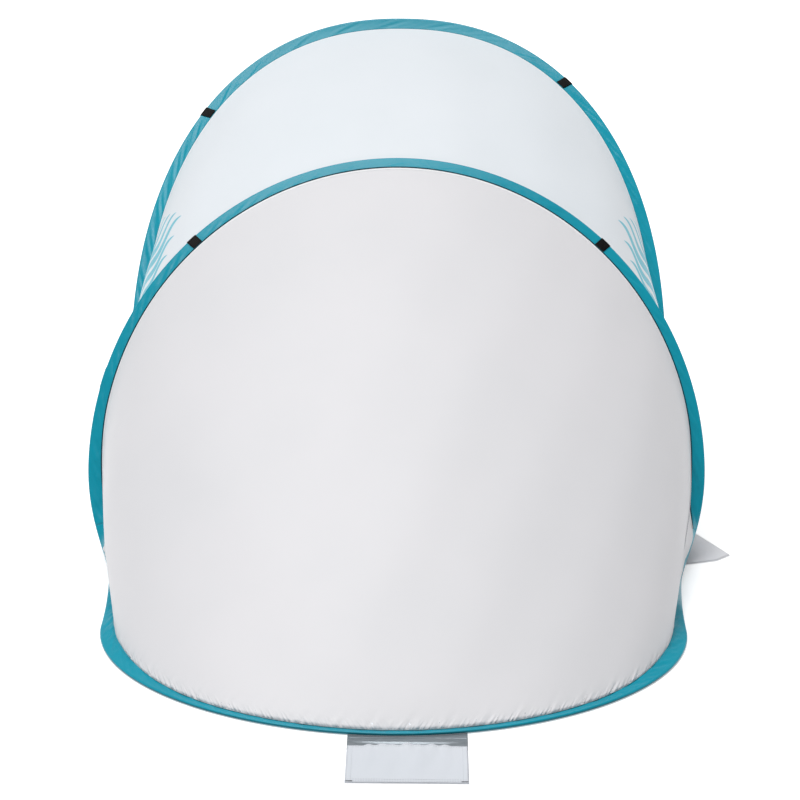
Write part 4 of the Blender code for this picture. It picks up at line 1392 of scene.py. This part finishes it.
# %% Pocket tab
upward = (0.0, 0.0, 1.0)
pocket_half = 0.100
pocket_middle = 0.028
pocket_length = 0.172
hinge_gap = 0.008
hinge_y = -floor_length / 2 - hinge_gap
pocket_columns = 81
tab_rows = 7
x = pocket_middle + np.linspace(-pocket_half, pocket_half, pocket_columns)
order = np.argsort(rear_floor.point[:, 0])
ring_y = np.interp(x, rear_floor.point[order, 0], rear_floor.point[order, 1]) - nose_reach - clearance
share = np.linspace(0.0, 1.0, tab_rows)[None, :]
tab_y = ring_y[:, None] * (1 - share) + (hinge_y + clearance / 2) * share
tab = np.stack(np.broadcast_arrays(x[:, None], tab_y, fabric / 2), axis=-1)
piece = cloth("rear_pocket_tab_cloth", tab, upward, [pocket_lining_painted_shade, wall_cloth], held="laid")
settle(piece, "rear_floor", "rear_pocket_tab")

# %% Pocket base
base_rows = 71
pouch_setback = 0.034
lining_reach = 0.012
crease_height = 0.0042
crease_width = 0.0045
crease_from_hinge = 0.013
crease_bow = 0.007
crease_fade = 0.006
mouth_fade = 0.004
y = np.linspace(hinge_y - clearance / 2, hinge_y - pocket_length, base_rows)
base_x, base_y = np.meshgrid(x, y, indexing="ij")
bow = 1 - ((base_x - pocket_middle) / pocket_half) ** 2
from_crease = base_y - (hinge_y - crease_from_hinge - crease_bow * bow)
crease = crease_height * np.exp(-(from_crease / crease_width) ** 2) * bow ** 0.5
crease = crease * ease(hinge_y - base_y, 0.0, crease_fade)
crease = crease * ease(base_y - hinge_y + pouch_setback, 0.0, mouth_fade)
base_grid = np.stack((base_x, base_y, fabric / 2 + crease), axis=-1)
pocket_base = cloth("rear_pocket_base_cloth", base_grid, upward, [pocket_lining_painted_shade, wall_cloth], held="laid")
# the lining, drawn darker as painted shade, shows only in front of the mouth: behind it the base is pouch
# cloth
pocket_base.data.materials.append(pouch_cloth_painted_shade)
for face in pocket_base.data.polygons:
    if face.material_index == 0 and face.center[1] < hinge_y - pouch_setback - lining_reach:
        face.material_index = 2
settle(pocket_base, "rear_pocket", "rear_pocket_base")

# %% Pocket pouch
pouch_columns = 121
pouch_rows = 91
pouch_inset = 0.001
pouch_rise = 0.0035
pouch_gap = 0.0002
side_hem = 0.010
mouth_hem = 0.008
hem_step = 0.001
wave_seed, wave_height, wave_reach = 51, 0.0016, 0.02
wave_sizes = (0.021, 0.034, 0.05)
wave_side = 0.03
sag_seed, sag_height = 52, 0.0012
sag_sizes = (0.045, 0.07, 0.11)
sag_side = 0.035
half = pocket_half - pouch_inset
mouth, end = hinge_y - pouch_setback, hinge_y - pocket_length + pouch_inset
a = np.linspace(-1.0, 1.0, pouch_columns)[:, None]
b = np.linspace(0.0, 1.0, pouch_rows)[None, :]
sideways, down = np.broadcast_arrays(a * half, b * (mouth - end))
from_side = half - np.abs(sideways)
fading = np.cos(b * math.pi / 2)
rise = pouch_rise * np.maximum(1 - (a / (1 - side_hem / half)) ** 2, 0.0) * fading
wave = ripple(wave_seed, (sideways, 0 * down), wave_sizes) * wave_height * np.exp(-down / wave_reach)
wave = wave * ease(from_side, side_hem, wave_side) * fading
sag = ripple(sag_seed, (sideways, down), sag_sizes) * sag_height * np.sin(math.pi * b)
sag = sag * ease(from_side, side_hem, sag_side)
base_height = fabric + clearance + fabric / 2 + pouch_gap
pouch = np.stack((pocket_middle + sideways, mouth - down, base_height + np.maximum(rise + wave + sag, 0.0)),
                 axis=-1)
on_side_hem = ease(np.abs(sideways), half - side_hem, half - side_hem + hem_step)
on_mouth_hem = 1 - ease(down, mouth_hem - hem_step, mouth_hem)
thickness = fabric * (0.7 + 0.8 * np.maximum(on_side_hem, on_mouth_hem))
piece = cloth("rear_pocket_pouch_cloth", pouch, upward, [pouch_cloth_painted_shade, silver_side], thickness, held="laid")
settle(piece, "rear_pocket", "rear_pocket_pouch")

# %% [markdown]
# ## Side sand pocket
# The right side pocket is a small flap on the ground, whose outer corner is folded under. Its base and its
# cover have one outline, given as shares of its reach and length. A straight tab joins it to the ring.

# %% Side pocket layers
pocket_reach = 0.099
side_length = 0.176
side_gap = 0.0013
side_back = 0.197
layer_rows = 33
layer_columns = 61
layer_fullness = 0.4
cover_inset = 0.003
cover_crown = 0.0016
crease_seed = 61
crease_lengths = (0.02, 0.035, 0.06)
# the cover's crown as shares of its named height: an even swell, and creases over it
swell_share = 0.7
crease_share = 0.3
side_hinge = np.array((waist_width / 2 + side_gap, waist_point[1] + side_back, fabric))
outline_shares = np.array(((0.0, 0.0), (0.43, 0.0), (1.0, 0.68), (0.71, 0.85), (0.0, 1.0)))


def side_outline(inset):
    points = side_hinge[:2] + outline_shares * np.array((pocket_reach, -side_length))
    away = points - points.mean(axis=0)
    return points.mean(axis=0) + away * (1 - inset / np.linalg.norm(away, axis=1, keepdims=True))


def along_points(points, count):
    """Evenly spaced places along a line of points."""
    run = np.concatenate(((0.0,), np.cumsum(np.linalg.norm(np.diff(points, axis=0), axis=1))))
    even = np.linspace(0.0, run[-1], count)
    return np.stack([np.interp(even, run, points[:, k]) for k in range(2)], axis=1)


def pocket_layer(inset, height, crown):
    """A layer of the pocket, from its edge at the ring to its outer edges, with a creased crown."""
    outline = side_outline(inset)
    low = along_points(outline[[0, 4]], layer_columns)
    high = along_points(outline[[1, 2, 3]], layer_columns)
    share = np.linspace(0.0, 1.0, layer_rows)[None, :, None]
    flat = low[:, None, :] * (1 - share) + high[:, None, :] * share
    s = np.linspace(0.0, 1.0, layer_columns)[:, None]
    swell = (np.sin(math.pi * s) * np.sin(math.pi * share[..., 0])) ** layer_fullness
    creases = crease_share * ripple(crease_seed, (flat[..., 0], flat[..., 1]), crease_lengths)
    return np.concatenate((flat, (height + crown * swell * (swell_share + creases))[..., None]), axis=-1)


piece = cloth("side_pocket_base_cloth", pocket_layer(0.0, fabric / 2, 0.0), upward,
              [flap_cloth_painted_light, silver_side], held="laid")
settle(piece, "side_pocket", "side_pocket_base")
cover = pocket_layer(cover_inset, fabric + clearance + fabric / 2, cover_crown)
piece = cloth("side_pocket_cover_cloth", cover, upward, [flap_cloth_painted_light, silver_side], held="folded")
settle(piece, "side_pocket", "side_pocket_cover")

# %% Side pocket tab
tab_from_end = 0.017
tab_length = 0.062
inner_x = abs(front_floor.place(-seam_reach, 0.0)[0][0]) + clearance
outer_x = side_hinge[0] - clearance
far_y = side_hinge[1] - side_length + tab_from_end
tab_x, tab_y = np.meshgrid(np.linspace(inner_x, outer_x, 9), np.linspace(far_y, far_y + tab_length, 25),
                           indexing="ij")
strip = np.stack(np.broadcast_arrays(tab_x, tab_y, fabric / 2), axis=-1)
piece = cloth("side_pocket_tab_cloth", strip, upward, [wall_cloth, wall_cloth], held="laid")
settle(piece, "root", "side_pocket_tab")

# %% [markdown]
# ## Stitches
# Every seam is a line of short stitches. Geometry Nodes puts one small grain of thread at each step along a
# line, turned to lie along it. The thread is drawn thicker than real thread, so it can be seen.

# %% Stitches along a line, in Geometry Nodes
stitch_tree, source, result = new_tree("stitches_along_a_line", (
    ("Spacing", "NodeSocketFloat"), ("Length", "NodeSocketFloat"), ("Thickness", "NodeSocketFloat"),
    ("Material", "NodeSocketMaterial")))
curve = add(stitch_tree, "GeometryNodeMeshToCurve", links={"Mesh": source.outputs["Geometry"]})
places = add(stitch_tree, "GeometryNodeCurveToPoints", links={
    "Curve": curve.outputs[0], "Length": source.outputs["Spacing"]}, mode="LENGTH")
grain = add(stitch_tree, "GeometryNodeMeshIcoSphere", {"Radius": 0.5, "Subdivisions": 1})
size = add(stitch_tree, "ShaderNodeCombineXYZ", links={
    "X": source.outputs["Thickness"], "Y": source.outputs["Thickness"], "Z": source.outputs["Length"]})
laid = add(stitch_tree, "GeometryNodeInstanceOnPoints", links={
    "Points": places.outputs["Points"], "Instance": grain.outputs["Mesh"],
    "Rotation": places.outputs["Rotation"], "Scale": size.outputs[0]})
end_tree(stitch_tree, source, result, laid.outputs[0])
# each kind of stitch: its spacing, length and thickness
seam_stitch = (0.0042, 0.0032, 0.0009)
bar_tack = (0.0007, 0.0012, 0.0020)


def stitches(name, lines, material, body=None, kind=seam_stitch):
    """Rows of stitches along lines of points."""
    spacing, length, thickness = kind
    piece = run_tree(line_object(name, lines), stitch_tree, {
        "Spacing": spacing, "Length": length, "Thickness": thickness, "Material": material})
    print(f"{name}: {len(piece.data.polygons)} faces")
    return settle(piece, body)


# %% Seams on the hoops
stitch_in = 0.006
stitch_height = seam_half + 0.0002
for hoop, path, body in (*arches, *floors):
    half_name = "arch" if (hoop, path, body) in arches else "floor"
    lines = [path.place(stitch_in - seam_reach, face * stitch_height) for face in (1, -1)]
    stitches(f"{hoop}_hoop_{half_name}_stitches", lines, teal_thread, body)

# %% Seams on the rear pocket
on_cloth = np.array((0.0, 0.0, fabric * 0.75))
hem_margin = 0.0022
mouth_lines = (0.0018, mouth_hem - 0.002)
end_rows = (pouch_rows - 3, pouch_rows - 7)
# the mouth's rows of stitches stop this many columns short of the sides
mouth_end = 6
tack_from_side = 0.006
tack_from_end = 0.002
tack_half = 0.005
tack_points = 5
lines = []
for hem_place in (hem_margin, side_hem - hem_margin):
    column = int(round(hem_place / (2 * half) * (pouch_columns - 1)))
    lines += [pouch[column] + on_cloth, pouch[pouch_columns - 1 - column] + on_cloth]
for row_place in mouth_lines:
    row = int(round(row_place / (mouth - end) * (pouch_rows - 1)))
    lines.append(pouch[mouth_end:-mouth_end, row] + on_cloth)
lines += [pouch[:, row] + on_cloth for row in end_rows]
stitches("rear_pocket_stitches", lines, white_thread, "rear_pocket")
tacks = []
for side in (-1, 1):
    tack_middle = pocket_middle + side * (half - tack_from_side)
    tack_x = tack_middle + np.linspace(-tack_half, tack_half, tack_points)
    tacks.append(np.stack(np.broadcast_arrays(tack_x, end + tack_from_end, base_height + fabric), axis=1))
stitches("rear_pocket_bar_tacks", tacks, dark_thread, "rear_pocket", bar_tack)

# %% Seams up the rear wall
seam_half_gap = 0.0035
seam_height = 0.0016
# places up the wall that have no stitches at each hem
hem_places = 3
for side, column in seam_columns.items():
    middle, sideways, normals = seam_frame(column)
    lines = [(middle + step * seam_half_gap * sideways + seam_height * normals)[hem_places:-hem_places]
             for step in (-1, 1)]
    piece = stitches(f"rear_wall_seam_stitches_{side}", lines, white_thread)
    fold(piece, nearest_shares(piece, middle, wall_shares[column]))
